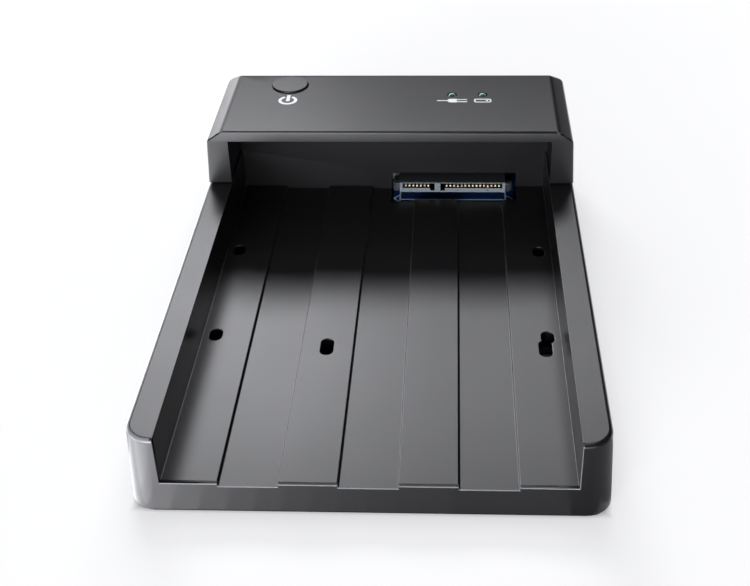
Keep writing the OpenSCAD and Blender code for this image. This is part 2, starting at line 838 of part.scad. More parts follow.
module dc_jack_lugs() color(steel) for (s = [-1, 1]) {
    x = jack_x + s * lug_pitch / 2;
    y = y_jack_face - jack_l;
    block([x - lug_w / 2, y - lug_t, z_board], [x + lug_w / 2, y, z_board + lug_h]);
}

// Square data socket: folded shell, insulator and contacts
module usb_shell() color(steel) difference() {
    along_y(y_port - usb_l, y_port) usb_outline(0);
    along_y(y_port - usb_l + usb_skin, y_port + over) usb_outline(-usb_skin);
}

module usb_insulator() color(satin_black) {
    slack = usb_skin + pin_fit;
    y_back = y_port - usb_l + slack;
    along_y(y_back, y_back + usb_block) usb_outline(-slack);
    for (t = usb_tongues)
        block([usb_x - t[0], y_back, z_board + t[1]],
              [usb_x + t[0], y_port - usb_tongue_back, z_board + t[2]]);
}

module usb_contacts() color(gold) for (k = [0, 1]) {
    t = usb_tongues[k];
    n = usb_contact_n[k];
    step = 2 * t[0] / n;
    z = z_board + t[2];
    for (i = [0 : n - 1]) {
        x = usb_x - t[0] + (i + 0.5) * step;
        block([x - usb_contact_w / 2, y_port - usb_l + usb_block + usb_contact_root, z],
              [x + usb_contact_w / 2, y_port - usb_contact_back, z + usb_contact_t]);
    }
}

// Housing of a wire header, from the height of its underside
module header(z) translate([header_x - header_w / 2, y_header, z]) cube([header_w, header_d, header_h]);

module main_header() color(wire_white) header(z_board);

module indicator_header() color(wire_white) header(z_small_under - header_h);

// Flat harness: each wire leaves one header, turns over in a half circle and enters the other
module harness_wires() color(wire_grey) for (i = [0 : wire_n - 1]) {
    bend = (z_wire_high - z_wire_low) / 2;
    y0 = y_header + header_d;
    translate([header_x + (i - (wire_n - 1) / 2) * wire_pitch, 0, 0]) {
        for (z = [z_wire_low, z_wire_high]) translate([0, y0, z])
            rotate([-90, 0, 0]) cylinder(r = wire_r, h = wire_run);
        translate([0, y0 + wire_run, z_wire_low + bend]) rotate([0, 90, 0])
            rotate_extrude(angle = 180) translate([bend, 0]) circle(r = wire_r);
    }
}

module indicator_board() color(board_blue) difference() {
    block([small_left, y_small_front, z_small_under], [small_right, y_small_rear, z_small]);
    at_each(small_post_at) rod(board_hole_r, z_small_under - over, z_small + over);
}

// Push switch under the button
module switch_body() color(satin_black) at_button() difference() {
    block([-switch_w / 2, -switch_w / 2, z_small], [switch_w / 2, switch_w / 2, z_switch]);
    rod(plunger_r + switch_fit, z_small + switch_floor, z_switch + over);
}

module switch_plunger() color(wire_white) at_button() rod(plunger_r, z_plunger_foot, z_plunger);

module switch_pins() color(steel) at_button() for (i = [-1, 0, 1], s = [-1, 1])
    translate([i * pin_pitch - pin_w / 2, s * (switch_w + pin_t) / 2 - pin_t / 2, z_small])
        cube([pin_w, pin_t, pin_h]);

// Button: a hollow cap, a flange that keeps it under the roof and a stem pressed on the switch's plunger
module power_button() color(shell_black) at_button() difference() {
    union() {
        rod(button_r, z_flange - button_flange_t / 2, z_cap);
        rod(button_flange_r, z_flange - button_flange_t, z_flange);
        rod(stem_r, z_stem, z_flange);
    }
    difference() {
        rod(button_r - button_skin / 2, z_stem - over, z_cap - button_skin);
        rod(stem_r, z_stem - 2 * over, z_cap);
    }
    rod(plunger_r + pin_fit, z_stem - over, z_plunger);
}

module lamp(at) translate([at[0], at[1], 0]) {
    rod(lamp_flange_r, z_lamp_foot, z_lamp_foot + lamp_flange_t);
    rod(lamp_r, z_lamp_foot, z_lamp - lamp_r);
    translate([0, 0, z_lamp - lamp_r]) sphere(r = lamp_r);
}

module power_lamp() color(lamp_green) lamp(lamp_at[0]);

module drive_lamp() color(lamp_green) lamp(lamp_at[1]);

module lamp_leads() color(steel) at_each(lamp_at) for (s = [-1, 1])
    translate([s * lead_pitch / 2, 0, 0]) rod(lead_r, z_small, z_lamp_foot);

base_tray();
head_cover();
bottom_cover();
rubber_feet();
cover_screws();
head_screws();
main_board();
board_screws();
sata_insulator();
sata_hood();
sata_signal_contacts();
sata_power_contacts();
sata_board_locks();
bridge_chip();
flash_chip();
crystal();
regulator();
power_inductor();
electrolytic_caps();
ceramic_caps();
dc_jack_housing();
dc_jack_pin();
dc_jack_lugs();
usb_shell();
usb_insulator();
usb_contacts();
main_header();
harness_wires();
indicator_header();
indicator_board();
indicator_screws();
switch_body();
switch_plunger();
switch_pins();
power_button();
power_lamp();
drive_lamp();
lamp_leads();
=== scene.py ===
"""Dresses a flat hard drive dock: black shells, a blue board, its connector, printed marks, a stage."""

import math

import bmesh
import bpy
from bpy.props import FloatProperty, FloatVectorProperty, IntProperty, PointerProperty
from mathutils import Matrix, Vector


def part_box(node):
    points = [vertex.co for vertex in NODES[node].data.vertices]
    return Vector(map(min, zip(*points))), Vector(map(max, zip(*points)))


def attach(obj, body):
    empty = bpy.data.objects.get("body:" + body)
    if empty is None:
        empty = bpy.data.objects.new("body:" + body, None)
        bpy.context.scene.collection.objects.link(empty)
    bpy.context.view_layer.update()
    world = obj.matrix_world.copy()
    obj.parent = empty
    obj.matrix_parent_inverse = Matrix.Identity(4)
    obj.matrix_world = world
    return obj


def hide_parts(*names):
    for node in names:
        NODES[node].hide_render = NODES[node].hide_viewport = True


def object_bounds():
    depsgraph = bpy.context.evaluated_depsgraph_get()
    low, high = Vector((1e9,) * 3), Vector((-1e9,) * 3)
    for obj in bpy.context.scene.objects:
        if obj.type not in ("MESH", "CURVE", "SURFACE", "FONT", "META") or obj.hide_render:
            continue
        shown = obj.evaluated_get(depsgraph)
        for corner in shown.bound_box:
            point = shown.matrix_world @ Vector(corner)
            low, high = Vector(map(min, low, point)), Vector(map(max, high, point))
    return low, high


bl_info = {
    "name": "Drive Dock Dresser",
    "version": (1, 0, 0),
    "blender": (4, 5, 0),
    "location": "3D View > Sidebar > Dock",
    "description": "Builds the finish of a flat hard drive dock around its packed frame",
    "category": "Object",
}

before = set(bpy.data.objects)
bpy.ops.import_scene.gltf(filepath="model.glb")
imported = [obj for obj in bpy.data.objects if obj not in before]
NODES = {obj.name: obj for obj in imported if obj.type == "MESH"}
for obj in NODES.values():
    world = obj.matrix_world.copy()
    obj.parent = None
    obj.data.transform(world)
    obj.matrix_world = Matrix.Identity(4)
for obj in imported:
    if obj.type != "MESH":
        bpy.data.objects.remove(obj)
CAD_LOW, CAD_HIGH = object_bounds()

MM = 0.001
DOCK = "dock"
BUTTON = "button"
SHARP = 30
# Least part of a normal along an axis that the face is said to look along
FACING = 0.9
# Least length of a long edge, and how near a point lies to its plane
LONG = 30 * MM
NEAR = 0.01 * MM
IMAGE_W = 750
IMAGE_H = 586
SENSOR = 36.0
# Where the cards on the table end, just in front of the dock
DOCK_EDGE = -0.0857

# Heights of the frame that carry printing
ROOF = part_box("head_cover")[1].z
BOARD_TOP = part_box("main_board")[1].z


def length(name, text, default):
    """Property that holds a size in metres."""
    return FloatProperty(name=name, description=text, default=default, min=0, unit="LENGTH", precision=5)


def colour(name, text, default):
    """Property that holds a linear colour."""
    return FloatVectorProperty(name=name, description=text, default=default, size=3, min=0, max=1,
                               subtype="COLOR")


def share(name, text, default):
    """Property that holds a number from 0 to 1."""
    return FloatProperty(name=name, description=text, default=default, min=0, max=1, subtype="FACTOR")


def strength(name, text, default):
    """Property that holds a number with no upper limit."""
    return FloatProperty(name=name, description=text, default=default, min=0)


def angle(name, text, degrees):
    """Property that holds an angle, given in degrees."""
    return FloatProperty(name=name, description=text, default=math.radians(degrees), subtype="ANGLE")


class DockEdges(bpy.types.PropertyGroup):
    """Roundings of the pieces."""

    shell: length("Shell edge", "Rounding of the shells' small edges", 0.2 * MM)
    riser: length("Riser edge", "Rounding of the riser behind a raised strip's front edge", 0.05 * MM)
    step: length("Step edge", "Rounding along the right side of a raised strip", 0.4 * MM)
    fillet: length("Wall fillet", "Fillet between the bay's walls and its floor", 0.25 * MM)
    slope: length("Slope edge", "Rounding where the head's slopes meet roof and walls", 0.9 * MM)
    slope_end: length("Slope end", "Rounding of the slopes' front ends", 0.5 * MM)
    brow: length("Brow", "Rounding of the roof's front edge", 0.8 * MM)
    brow_h: length("Brow height", "Height of the strip between the recess and the roof", 3.2 * MM)
    brow_tilt: angle("Brow tilt", "Backward lean of the strip above the recess", 5)
    resin: length("Resin edge", "Rounding of the connector's edges", 0.08 * MM)
    metal: length("Metal edge", "Rounding of sheet metal and contacts", 0.06 * MM)
    button: length("Button edge", "Rounding of the button's rim", 0.4 * MM)
    foot: length("Foot edge", "Rounding of a foot's rim", 0.5 * MM)
    steps: IntProperty(name="Steps", description="Faces across a rounded edge", default=3, min=1, max=8)


class DockFinish(bpy.types.PropertyGroup):
    """Colours and roughness of the finishes."""

    shell: colour("Shell", "Black moulded plastic of the shells", (0.0045, 0.0045, 0.005))
    button: colour("Button", "Black moulded plastic of the button", (0.006, 0.006, 0.0066))
    rough: share("Shell roughness", "Roughness of the moulded plastic", 0.3)
    shine: share("Shell shine", "Strength of the moulded plastic's reflection", 0.38)
    button_shine: share("Button shine", "Strength of the button's reflection", 0.5)
    grain: length("Grain", "Size of the moulded grain", 0.16 * MM)
    grain_depth: length("Grain depth", "Depth of the moulded grain", 0.004 * MM)
    mask: colour("Solder mask", "Blue mask of the boards", (0.0045, 0.033, 0.15))
    core: colour("Connector core", "Grey resin of the connector's front", (0.15, 0.175, 0.195))
    post: colour("Connector posts", "Dark grey resin of the connector's guide posts", (0.04, 0.046, 0.053))
    # Painted shade: dark colour that stands in for the shade inside the connector's slots
    slot: colour("Connector slots", "Dark resin inside the connector", (0.004, 0.0045, 0.005))
    hood: colour("Connector hood", "Dark resin of the connector's hood", (0.024, 0.029, 0.034))
    gold: colour("Gold", "Plating of the contacts", (0.95, 0.80, 0.52))
    tin: colour("Tin", "Plating of shells, pins and lugs", (0.68, 0.69, 0.70))
    zinc: colour("Zinc", "Plating of the screws", (0.55, 0.56, 0.58))
    ink: colour("Ink", "White printing ink", (0.86, 0.86, 0.86))
    board_ink: colour("Board ink", "Pale blue printing ink on the board", (0.78, 0.88, 0.96))
    lamp: colour("Lamp resin", "Deep green in the middle of the lamps", (0.008, 0.05, 0.032))
    # Painted reflection: pale colour round the lamps' rims that stands in for the reflection on the domes
    lamp_rim_reflection: colour("Lamp rim", "Pale green round the rim of the lamps", (0.42, 0.66, 0.56))
    # Painted highlight: paler colour that stands in for light caught by the bay's small roundings
    edge: colour("Painted edge highlights", "Paler plastic on the bay's small roundings", (0.15, 0.15, 0.157))
    rubber: colour("Rubber", "Rubber of the feet", (0.014, 0.014, 0.015))


class DockMarks(bpy.types.PropertyGroup):
    """Printed marks on the roof and on the board."""

    ink: length("Ink thickness", "Height of the printed ink", 0.02 * MM)
    symbol_d: length("Standby ring", "Outside diameter of the standby mark", 6.3 * MM)
    symbol_stroke: length("Standby stroke", "Width of the standby mark's ring", 1.05 * MM)
    symbol_bar: length("Standby bar", "Width of the standby mark's bar", 1.2 * MM)
    symbol_gap: length("Standby gap", "From the button's rim to the top of the bar", 1.45 * MM)
    lamp_drop: length("Lamp mark drop", "From a lamp's centre to the middle of its mark", 4.5 * MM)
    mark_h: length("Lamp mark height", "Height of the lamps' marks", 2.6 * MM)
    plug_w: length("Plug mark", "Width of the plug mark under the first lamp", 10 * MM)
    disk_w: length("Disk mark", "Width of the disk mark under the second lamp", 5.7 * MM)
    mark_stroke: length("Mark stroke", "Line width of the lamps' marks", 0.5 * MM)
    screen: length("Board line", "Line width of the board's printing", 0.5 * MM)


class DockStage(bpy.types.PropertyGroup):
    """Camera, lamps and floor."""

    eye: FloatVectorProperty(name="Eye", description="Place of the camera", size=3, subtype="XYZ",
                             unit="LENGTH", default=(20.14 * MM, -295.75 * MM, 216.42 * MM))
    yaw: angle("Yaw", "Turn of the view from straight ahead", -2.979)
    pitch: angle("Pitch", "Downward tilt of the view", 33.137)
    roll: angle("Roll", "Roll of the view", -1.32)
    focal_px: strength("Focal length", "Focal length in pixels of the image", 1185.4)
    centre_px: FloatVectorProperty(name="Axis", size=2, default=(400.0, 250.0),
                                   description="Where the lens axis meets the image, in pixels")
    tint: colour("Lamp tint", "Colour of the lamps' light", (0.95, 0.955, 1.0))
    floor: share("Floor white", "How much of the lamps' light the floor shows", 0.52)
    glow: strength("Floor glow", "Part of the floor's white that the lamps don't change", 0.5)
    world: strength("World", "Even light all round", 0.08)
    rear: strength("Rear softbox", "Brightness of the softbox at the rear left", 10.3)
    rear_side: strength("Rear side softbox", "Brightness of the softbox behind the dock", 6)
    rear_low: strength("Low rear strip", "Brightness of the low strip at the rear left", 5.4)
    front: strength("Front strip", "Brightness of the low strip in front", 26)
    front_side: strength("Front side strip", "Brightness of the low strip at the front right", 8)
    top: strength("Top softbox", "Brightness of the softbox overhead", 2.3)
    left_card: strength("Left card", "Brightness of the card on the table at the left", 6)
    right_card: strength("Right card", "Brightness of the card on the right", 1.3)
    front_card: strength("Front card", "Brightness of the card on the table at the front left", 8.2)
    far_card: strength("Far card", "Brightness of the card on the table well in front", 1)


def edge_sizes():
    return bpy.context.scene.dock_edges


def finishes():
    return bpy.context.scene.dock_finish


# Helpers for meshes

def linked(name, mesh):
    """New object in the scene."""
    made = bpy.data.objects.new(name, mesh)
    bpy.context.scene.collection.objects.link(made)
    return made


def new_piece(name, mesh, material, body, replaced=()):
    """Adds a mesh as a piece that rides on a body."""
    mesh.name = name
    mesh.materials.clear()
    mesh.materials.append(material)
    piece = linked(name, mesh)
    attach(piece, body)
    if replaced:
        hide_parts(*replaced)
    return piece


def mesh_from(bm, name):
    """Turns a bmesh into a mesh with smooth shading."""
    mesh = bpy.data.meshes.new(name)
    bm.to_mesh(mesh)
    bm.free()
    for attribute in [a for a in mesh.attributes if a.name == "custom_normal"]:
        mesh.attributes.remove(attribute)
    for face in mesh.polygons:
        face.use_smooth = True
    return mesh


def applied(holder, name):
    """Plain mesh of an object with its modifiers; the object is removed."""
    graph = bpy.context.evaluated_depsgraph_get()
    result = bpy.data.meshes.new_from_object(holder.evaluated_get(graph), depsgraph=graph)
    result.name = name
    source = holder.data
    bpy.data.objects.remove(holder)
    bpy.data.meshes.remove(source)
    return result


def welded(node):
    """Copy of a CAD node as a bmesh with merged points and faces."""
    bm = bmesh.new()
    bm.from_mesh(NODES[node].data)
    bmesh.ops.remove_doubles(bm, verts=bm.verts, dist=0.002 * MM)
    bmesh.ops.dissolve_limit(bm, angle_limit=math.radians(0.5), verts=bm.verts, edges=bm.edges)
    return bm


def turn_at(edge):
    """Angle in degrees that the faces turn at an edge, above zero where the edge points outwards."""
    if len(edge.link_faces) != 2:
        return 0.0
    return math.degrees(edge.calc_face_angle_signed(0))


def finished(bm, name, rules, steps, mend=None):
    """Mesh with rounded edges. A rule is a width, the least turn (below zero for inward edges) and a test.

    The mesh with its rounded edges can be mended before its normals are set.
    """
    widest = max(width for width, least, test in rules)
    weight = bm.edges.layers.float.new("bevel_weight_edge")
    for edge in bm.edges:
        turn = turn_at(edge)
        fitting = [width for width, least, test in rules
                   if (turn > least if least > 0 else turn < least) and test(edge)]
        if fitting:
            edge[weight] = fitting[0] / widest
        edge.smooth = bool(fitting) or abs(turn) < SHARP
    holder = linked(name, mesh_from(bm, name + "_rough"))
    bevel = holder.modifiers.new("rounding", "BEVEL")
    bevel.limit_method = "WEIGHT"
    bevel.offset_type = "OFFSET"
    bevel.width = widest
    bevel.segments = steps
    bevel.use_clamp_overlap = False
    bevel.loop_slide = False
    rounded = applied(holder, name + "_rounded")
    holder = linked(name, mend(rounded) if mend else rounded)
    normals = holder.modifiers.new("normals", "WEIGHTED_NORMAL")
    normals.keep_sharp = True
    normals.weight = 60
    return applied(holder, name)


def every(edge):
    """Test that takes each edge."""
    return True


def softened(node, width, steps=2):
    """Copy of a CAD node with every outward edge rounded."""
    return finished(welded(node), node + "_soft", [(width, SHARP, every)], steps)


def lathed(profile, centre, segments=64):
    """bmesh of a profile of radius and height turned about a vertical axis."""
    bm = bmesh.new()
    rings = []
    for radius, height in profile:
        if radius == 0:
            rings.append([bm.verts.new((centre[0], centre[1], height))])
            continue
        angles = [2 * math.pi * i / segments for i in range(segments)]
        ring = [(centre[0] + radius * math.cos(a), centre[1] + radius * math.sin(a)) for a in angles]
        rings.append([bm.verts.new((x, y, height)) for x, y in ring])
    for low, high in zip(rings, rings[1:]):
        for i in range(segments):
            j = (i + 1) % segments
            around = [low[i % len(low)], low[j % len(low)], high[j % len(high)], high[i % len(high)]]
            bm.faces.new(list(dict.fromkeys(around)))
    bmesh.ops.recalc_face_normals(bm, faces=bm.faces)
    return bm


def arc(centre, radius, start, end, count):
    """Points of an arc, angles in degrees."""
    turns = [math.radians(start + (end - start) * i / (count - 1)) for i in range(count)]
    return [Vector((centre[0] + radius * math.cos(t), centre[1] + radius * math.sin(t))) for t in turns]


def add_line(bm, points, width, low, height, closed=False):
    """Adds a raised line of even width along points."""
    points = [Vector(p) for p in points]
    count = len(points)
    corners = []
    for i, point in enumerate(points):
        ways = []
        if i or closed:
            ways.append((point - points[i - 1]).normalized())
        if i + 1 < count or closed:
            ways.append((points[(i + 1) % count] - point).normalized())
        way = sum(ways, Vector((0, 0))).normalized()
        side = Vector((-way.y, way.x))
        reach = width / 2 / max(0.4, way.dot(ways[0]))
        around = ((side, low), (-side, low), (-side, low + height), (side, low + height))
        corners.append([bm.verts.new((*(point + s * reach), z)) for s, z in around])
    ends = corners[1:] + (corners[:1] if closed else [])
    for here, there in zip(corners, ends):
        for k in range(4):
            n = (k + 1) % 4
            bm.faces.new((here[k], here[n], there[n], there[k]))
    if not closed:
        bm.faces.new(corners[0])
        bm.faces.new(corners[-1])


def add_prism(bm, near, far):
    """Adds a solid between two outlines with the same count of points."""
    near = [bm.verts.new(point) for point in near]
    far = [bm.verts.new(point) for point in far]
    bm.faces.new(near)
    bm.faces.new(far)
    for i, point in enumerate(near):
        j = (i + 1) % len(near)
        bm.faces.new((point, near[j], far[j], far[i]))


def add_plate(bm, points, low, height):
    """Adds a raised plate over an outline."""
    add_prism(bm, *([(x, y, z) for x, y in points] for z in (low, low + height)))


def printed(bm, name):
    """Mesh of raised printing, its faces turned outwards."""
    bmesh.ops.recalc_face_normals(bm, faces=bm.faces)
    mesh = mesh_from(bm, name)
    mesh.set_sharp_from_angle(angle=math.radians(40))
    return mesh


def extruded(points, low, high):
    """bmesh of an outline in Y and Z, drawn along X."""
    bm = bmesh.new()
    add_prism(bm, *([(x, y, z) for y, z in points] for x in (low, high)))
    bmesh.ops.recalc_face_normals(bm, faces=bm.faces)
    return bm


def face_up(faces):
    """Turns faces so that they look up."""
    for face in faces:
        face.normal_update()
        if face.normal.z < 0:
            face.normal_flip()


# Helpers for node trees

def add_node(tree, kind, inputs=None, **settings):
    """New node with its settings; each input is linked to a socket or set to a value."""
    node = tree.nodes.new(kind)
    for name, value in settings.items():
        setattr(node, name, value)
    for key, value in (inputs or {}).items():
        if isinstance(value, bpy.types.NodeSocket):
            tree.links.new(value, node.inputs[key])
        else:
            node.inputs[key].default_value = value
    return node


def add_math(tree, operation, *values):
    """Result of a new Math node that works on sockets and numbers."""
    return add_node(tree, "ShaderNodeMath", dict(enumerate(values)), operation=operation).outputs[0]


def add_sockets(tree, way, sockets):
    """Adds named sockets to a group."""
    for label, kind in sockets.items():
        tree.interface.new_socket(label, in_out=way, socket_type="NodeSocket" + kind)


def object_axes(tree):
    """Sockets with a point's X, Y and Z on its object."""
    place = add_node(tree, "ShaderNodeTexCoord").outputs["Object"]
    return add_node(tree, "ShaderNodeSeparateXYZ", {0: place}).outputs


# Geometry Nodes trees for pieces that repeat

def new_tree(name, inputs):
    """Geometry Nodes tree with named inputs, and the sockets of those inputs."""
    tree = bpy.data.node_groups.new(name, "GeometryNodeTree")
    add_sockets(tree, "INPUT", {"Geometry": "Geometry", **inputs, "Material": "Material"})
    add_sockets(tree, "OUTPUT", {"Geometry": "Geometry"})
    return tree, add_node(tree, "NodeGroupInput").outputs


def add_copies(tree, given, points):
    """Copies of the given geometry at points."""
    ends = {"Points": points.outputs["Mesh"], "Instance": given["Geometry"]}
    return add_node(tree, "GeometryNodeInstanceOnPoints", ends).outputs["Instances"]


def close_tree(tree, given, copies):
    """Ends a tree: real geometry with its material."""
    real = add_node(tree, "GeometryNodeRealizeInstances", {"Geometry": copies}).outputs["Geometry"]
    ends = {"Geometry": real, "Material": given["Material"]}
    finish = add_node(tree, "GeometryNodeSetMaterial", ends).outputs["Geometry"]
    add_node(tree, "NodeGroupOutput", {"Geometry": finish})
    return tree


def row_tree():
    """Copies along a line; of each eight, the fourth stands forward by a shift."""
    if "contact_row" in bpy.data.node_groups:
        return bpy.data.node_groups["contact_row"]
    tree, given = new_tree("contact_row", {"Count": "Int", "Step": "Vector", "Shift": "Vector"})
    ends = {"Count": given["Count"], "Offset": given["Step"]}
    copies = add_copies(tree, given, add_node(tree, "GeometryNodeMeshLine", ends, mode="OFFSET"))
    index = add_node(tree, "GeometryNodeInputIndex").outputs["Index"]
    fourth = add_math(tree, "COMPARE", add_math(tree, "MODULO", index, 8), 3, 0.1)
    ends = {"Instances": copies, "Selection": fourth, "Translation": given["Shift"]}
    moved = add_node(tree, "GeometryNodeTranslateInstances", ends)
    return close_tree(tree, given, moved.outputs["Instances"])


def grid_tree():
    """Copies at the points of a rectangular grid."""
    inputs = {"Columns": "Int", "Rows": "Int", "Width": "Float", "Depth": "Float"}
    tree, given = new_tree("grid_copies", inputs)
    ends = {"Vertices X": given["Columns"], "Vertices Y": given["Rows"],
            "Size X": given["Width"], "Size Y": given["Depth"]}
    copies = add_copies(tree, given, add_node(tree, "GeometryNodeMeshGrid", ends))
    return close_tree(tree, given, copies)


def repeated(mesh, name, tree, values):
    """Mesh of a shape repeated by a tree, with the tree's inputs set by name."""
    holder = linked(name, mesh)
    modifier = holder.modifiers.new("copies", "NODES")
    modifier.node_group = tree
    for item in tree.interface.items_tree:
        if item.in_out == "INPUT" and item.name in values:
            modifier[item.identifier] = values[item.name]
    return applied(holder, name)


# Materials

def cleared(owner):
    """Empty node tree of a material or a world."""
    owner.use_nodes = True
    owner.node_tree.nodes.clear()
    return owner.node_tree


def grain_group():
    """Shader group of a surface: fine grain, and slow changes of colour and roughness."""
    name = "surface_grain"
    if name in bpy.data.node_groups:
        return bpy.data.node_groups[name]
    tree = bpy.data.node_groups.new(name, "ShaderNodeTree")
    add_sockets(tree, "INPUT", {"Colour": "Color", "Mottle": "Float", "Mottle Scale": "Float",
                                "Roughness": "Float", "Spread": "Float", "Grain Scale": "Float"})
    add_sockets(tree, "OUTPUT", {"Colour": "Color", "Roughness": "Float", "Height": "Float"})
    given = add_node(tree, "NodeGroupInput").outputs
    place = add_node(tree, "ShaderNodeTexCoord").outputs["Object"]

    def noise(scale, detail):
        """Noise that keeps its place on the object."""
        ends = {"Vector": place, "Scale": given[scale], "Detail": detail}
        return add_node(tree, "ShaderNodeTexNoise", ends).outputs["Fac"]

    height = noise("Grain Scale", 3)
    centred = add_math(tree, "MULTIPLY_ADD", noise("Mottle Scale", 4), 2, -1)
    rough = add_math(tree, "MULTIPLY_ADD", centred, given["Spread"], given["Roughness"])
    tint = add_math(tree, "MULTIPLY_ADD", centred, given["Mottle"], 1)
    tinted = add_node(tree, "ShaderNodeVectorMath", {0: given["Colour"], "Scale": tint}, operation="SCALE")
    ends = {"Colour": tinted.outputs["Vector"], "Roughness": rough, "Height": height}
    add_node(tree, "NodeGroupOutput", ends)
    return tree


def surface(name, base, rough, spread=0.06, mottle=0.08, mottle_size=18 * MM, grain=0.2 * MM,
            depth=0.003 * MM, metal=0.0, shine=0.5):
    """Material with grain, mottling and uneven gloss; made once for each name."""
    if name in bpy.data.materials:
        return bpy.data.materials[name]
    material = bpy.data.materials.new(name)
    material.diffuse_color = (*base, 1)
    tree = cleared(material)
    ends = {"Colour": (*base, 1), "Mottle": mottle, "Mottle Scale": 1 / mottle_size,
            "Roughness": rough, "Spread": spread, "Grain Scale": 1 / grain}
    group = add_node(tree, "ShaderNodeGroup", node_tree=grain_group())
    for label, value in ends.items():
        group.inputs[label].default_value = value
    bump = add_node(tree, "ShaderNodeBump", {"Distance": depth, "Height": group.outputs["Height"]})
    ends = {"Base Color": group.outputs["Colour"], "Roughness": group.outputs["Roughness"],
            "Normal": bump.outputs["Normal"], "Metallic": metal, "Specular IOR Level": shine}
    shader = add_node(tree, "ShaderNodeBsdfPrincipled", ends)
    add_node(tree, "ShaderNodeOutputMaterial", {"Surface": shader.outputs["BSDF"]})
    return material


def blended(material, factor, other):
    """Blends a material's colour into another one by a factor."""
    tree = material.node_tree
    shader = next(n for n in tree.nodes if n.type == "BSDF_PRINCIPLED")
    own = shader.inputs["Base Color"].links[0].from_socket
    ends = {"Factor": factor, "A": own, "B": (*other, 1)}
    blend = add_node(tree, "ShaderNodeMix", ends, data_type="RGBA")
    tree.links.new(blend.outputs["Result"], shader.inputs["Base Color"])
    return material


def shell_finish():
    """Satin black plastic of the shells."""
    look = finishes()
    return surface("satin_shell", look.shell, look.rough, 0.02, grain=look.grain, depth=look.grain_depth,
                   shine=look.shine)


def edge_highlight_finish():
    """Painted edge highlight: paler plastic colour that fades out towards the head, where the bay lies in
    shade.
    """
    look = finishes()
    material = surface("painted_edge_highlight", look.edge, look.rough, 0.02, shine=look.shine)
    tree = material.node_tree
    # The painted highlight fades into the shell's colour towards the head, where the bay lies in shade
    ends = {"Value": object_axes(tree)["Y"], "From Min": -30 * MM, "From Max": 20 * MM}
    fade = add_node(tree, "ShaderNodeMapRange", ends)
    return blended(material, fade.outputs["Result"], look.shell)


def mask_finish():
    """Blue solder mask of the boards."""
    return surface("solder_mask", finishes().mask, 0.3, mottle=0.15, mottle_size=3 * MM, grain=0.4 * MM)


def port_finish():
    """Black resin of the sockets and the switch."""
    return surface("port_resin", (0.013, 0.013, 0.014), 0.42, mottle_size=6 * MM)


def plating(metal):
    """Plating of shells and pins (tin), of contacts (gold) or of screws (zinc)."""
    kinds = {"tin": (0.32, 0.12, 4, 0.002, 1), "gold": (0.28, 0.1, 2, 0.001, 0.4),
             "zinc": (0.36, 0.12, 2, 0.002, 1)}
    rough, spread, mottle, depth, metallic = kinds[metal]
    return surface(metal + "_plating", getattr(finishes(), metal), rough, spread, mottle_size=mottle * MM,
                   depth=depth * MM, metal=metallic)


def ink_finish(name, base):
    """Printing ink of a colour."""
    return surface(name, base, 0.45, mottle=0.05, mottle_size=1.5 * MM, depth=0.001 * MM)


def roof_ink():
    """White printing ink on the roof."""
    return ink_finish("printing_ink", finishes().ink)


def lamp_finish():
    """Green resin that is deep at the front of a lamp, with a painted pale reflection round its rim."""
    if "lamp_resin" in bpy.data.materials:
        return bpy.data.materials["lamp_resin"]
    look = finishes()
    material = surface("lamp_resin", look.lamp, 0.3, 0.02, mottle=0.2, mottle_size=1 * MM)
    rim = add_node(material.node_tree, "ShaderNodeAttribute", attribute_name="rim")
    return blended(material, rim.outputs["Fac"], look.lamp_rim_reflection)


def paint(material, *nodes):
    """Gives CAD nodes that stay in view a material."""
    for node in nodes:
        mesh = NODES[node].data
        mesh.materials.clear()
        mesh.materials.append(material)


# Operators, one for each piece or group of pieces

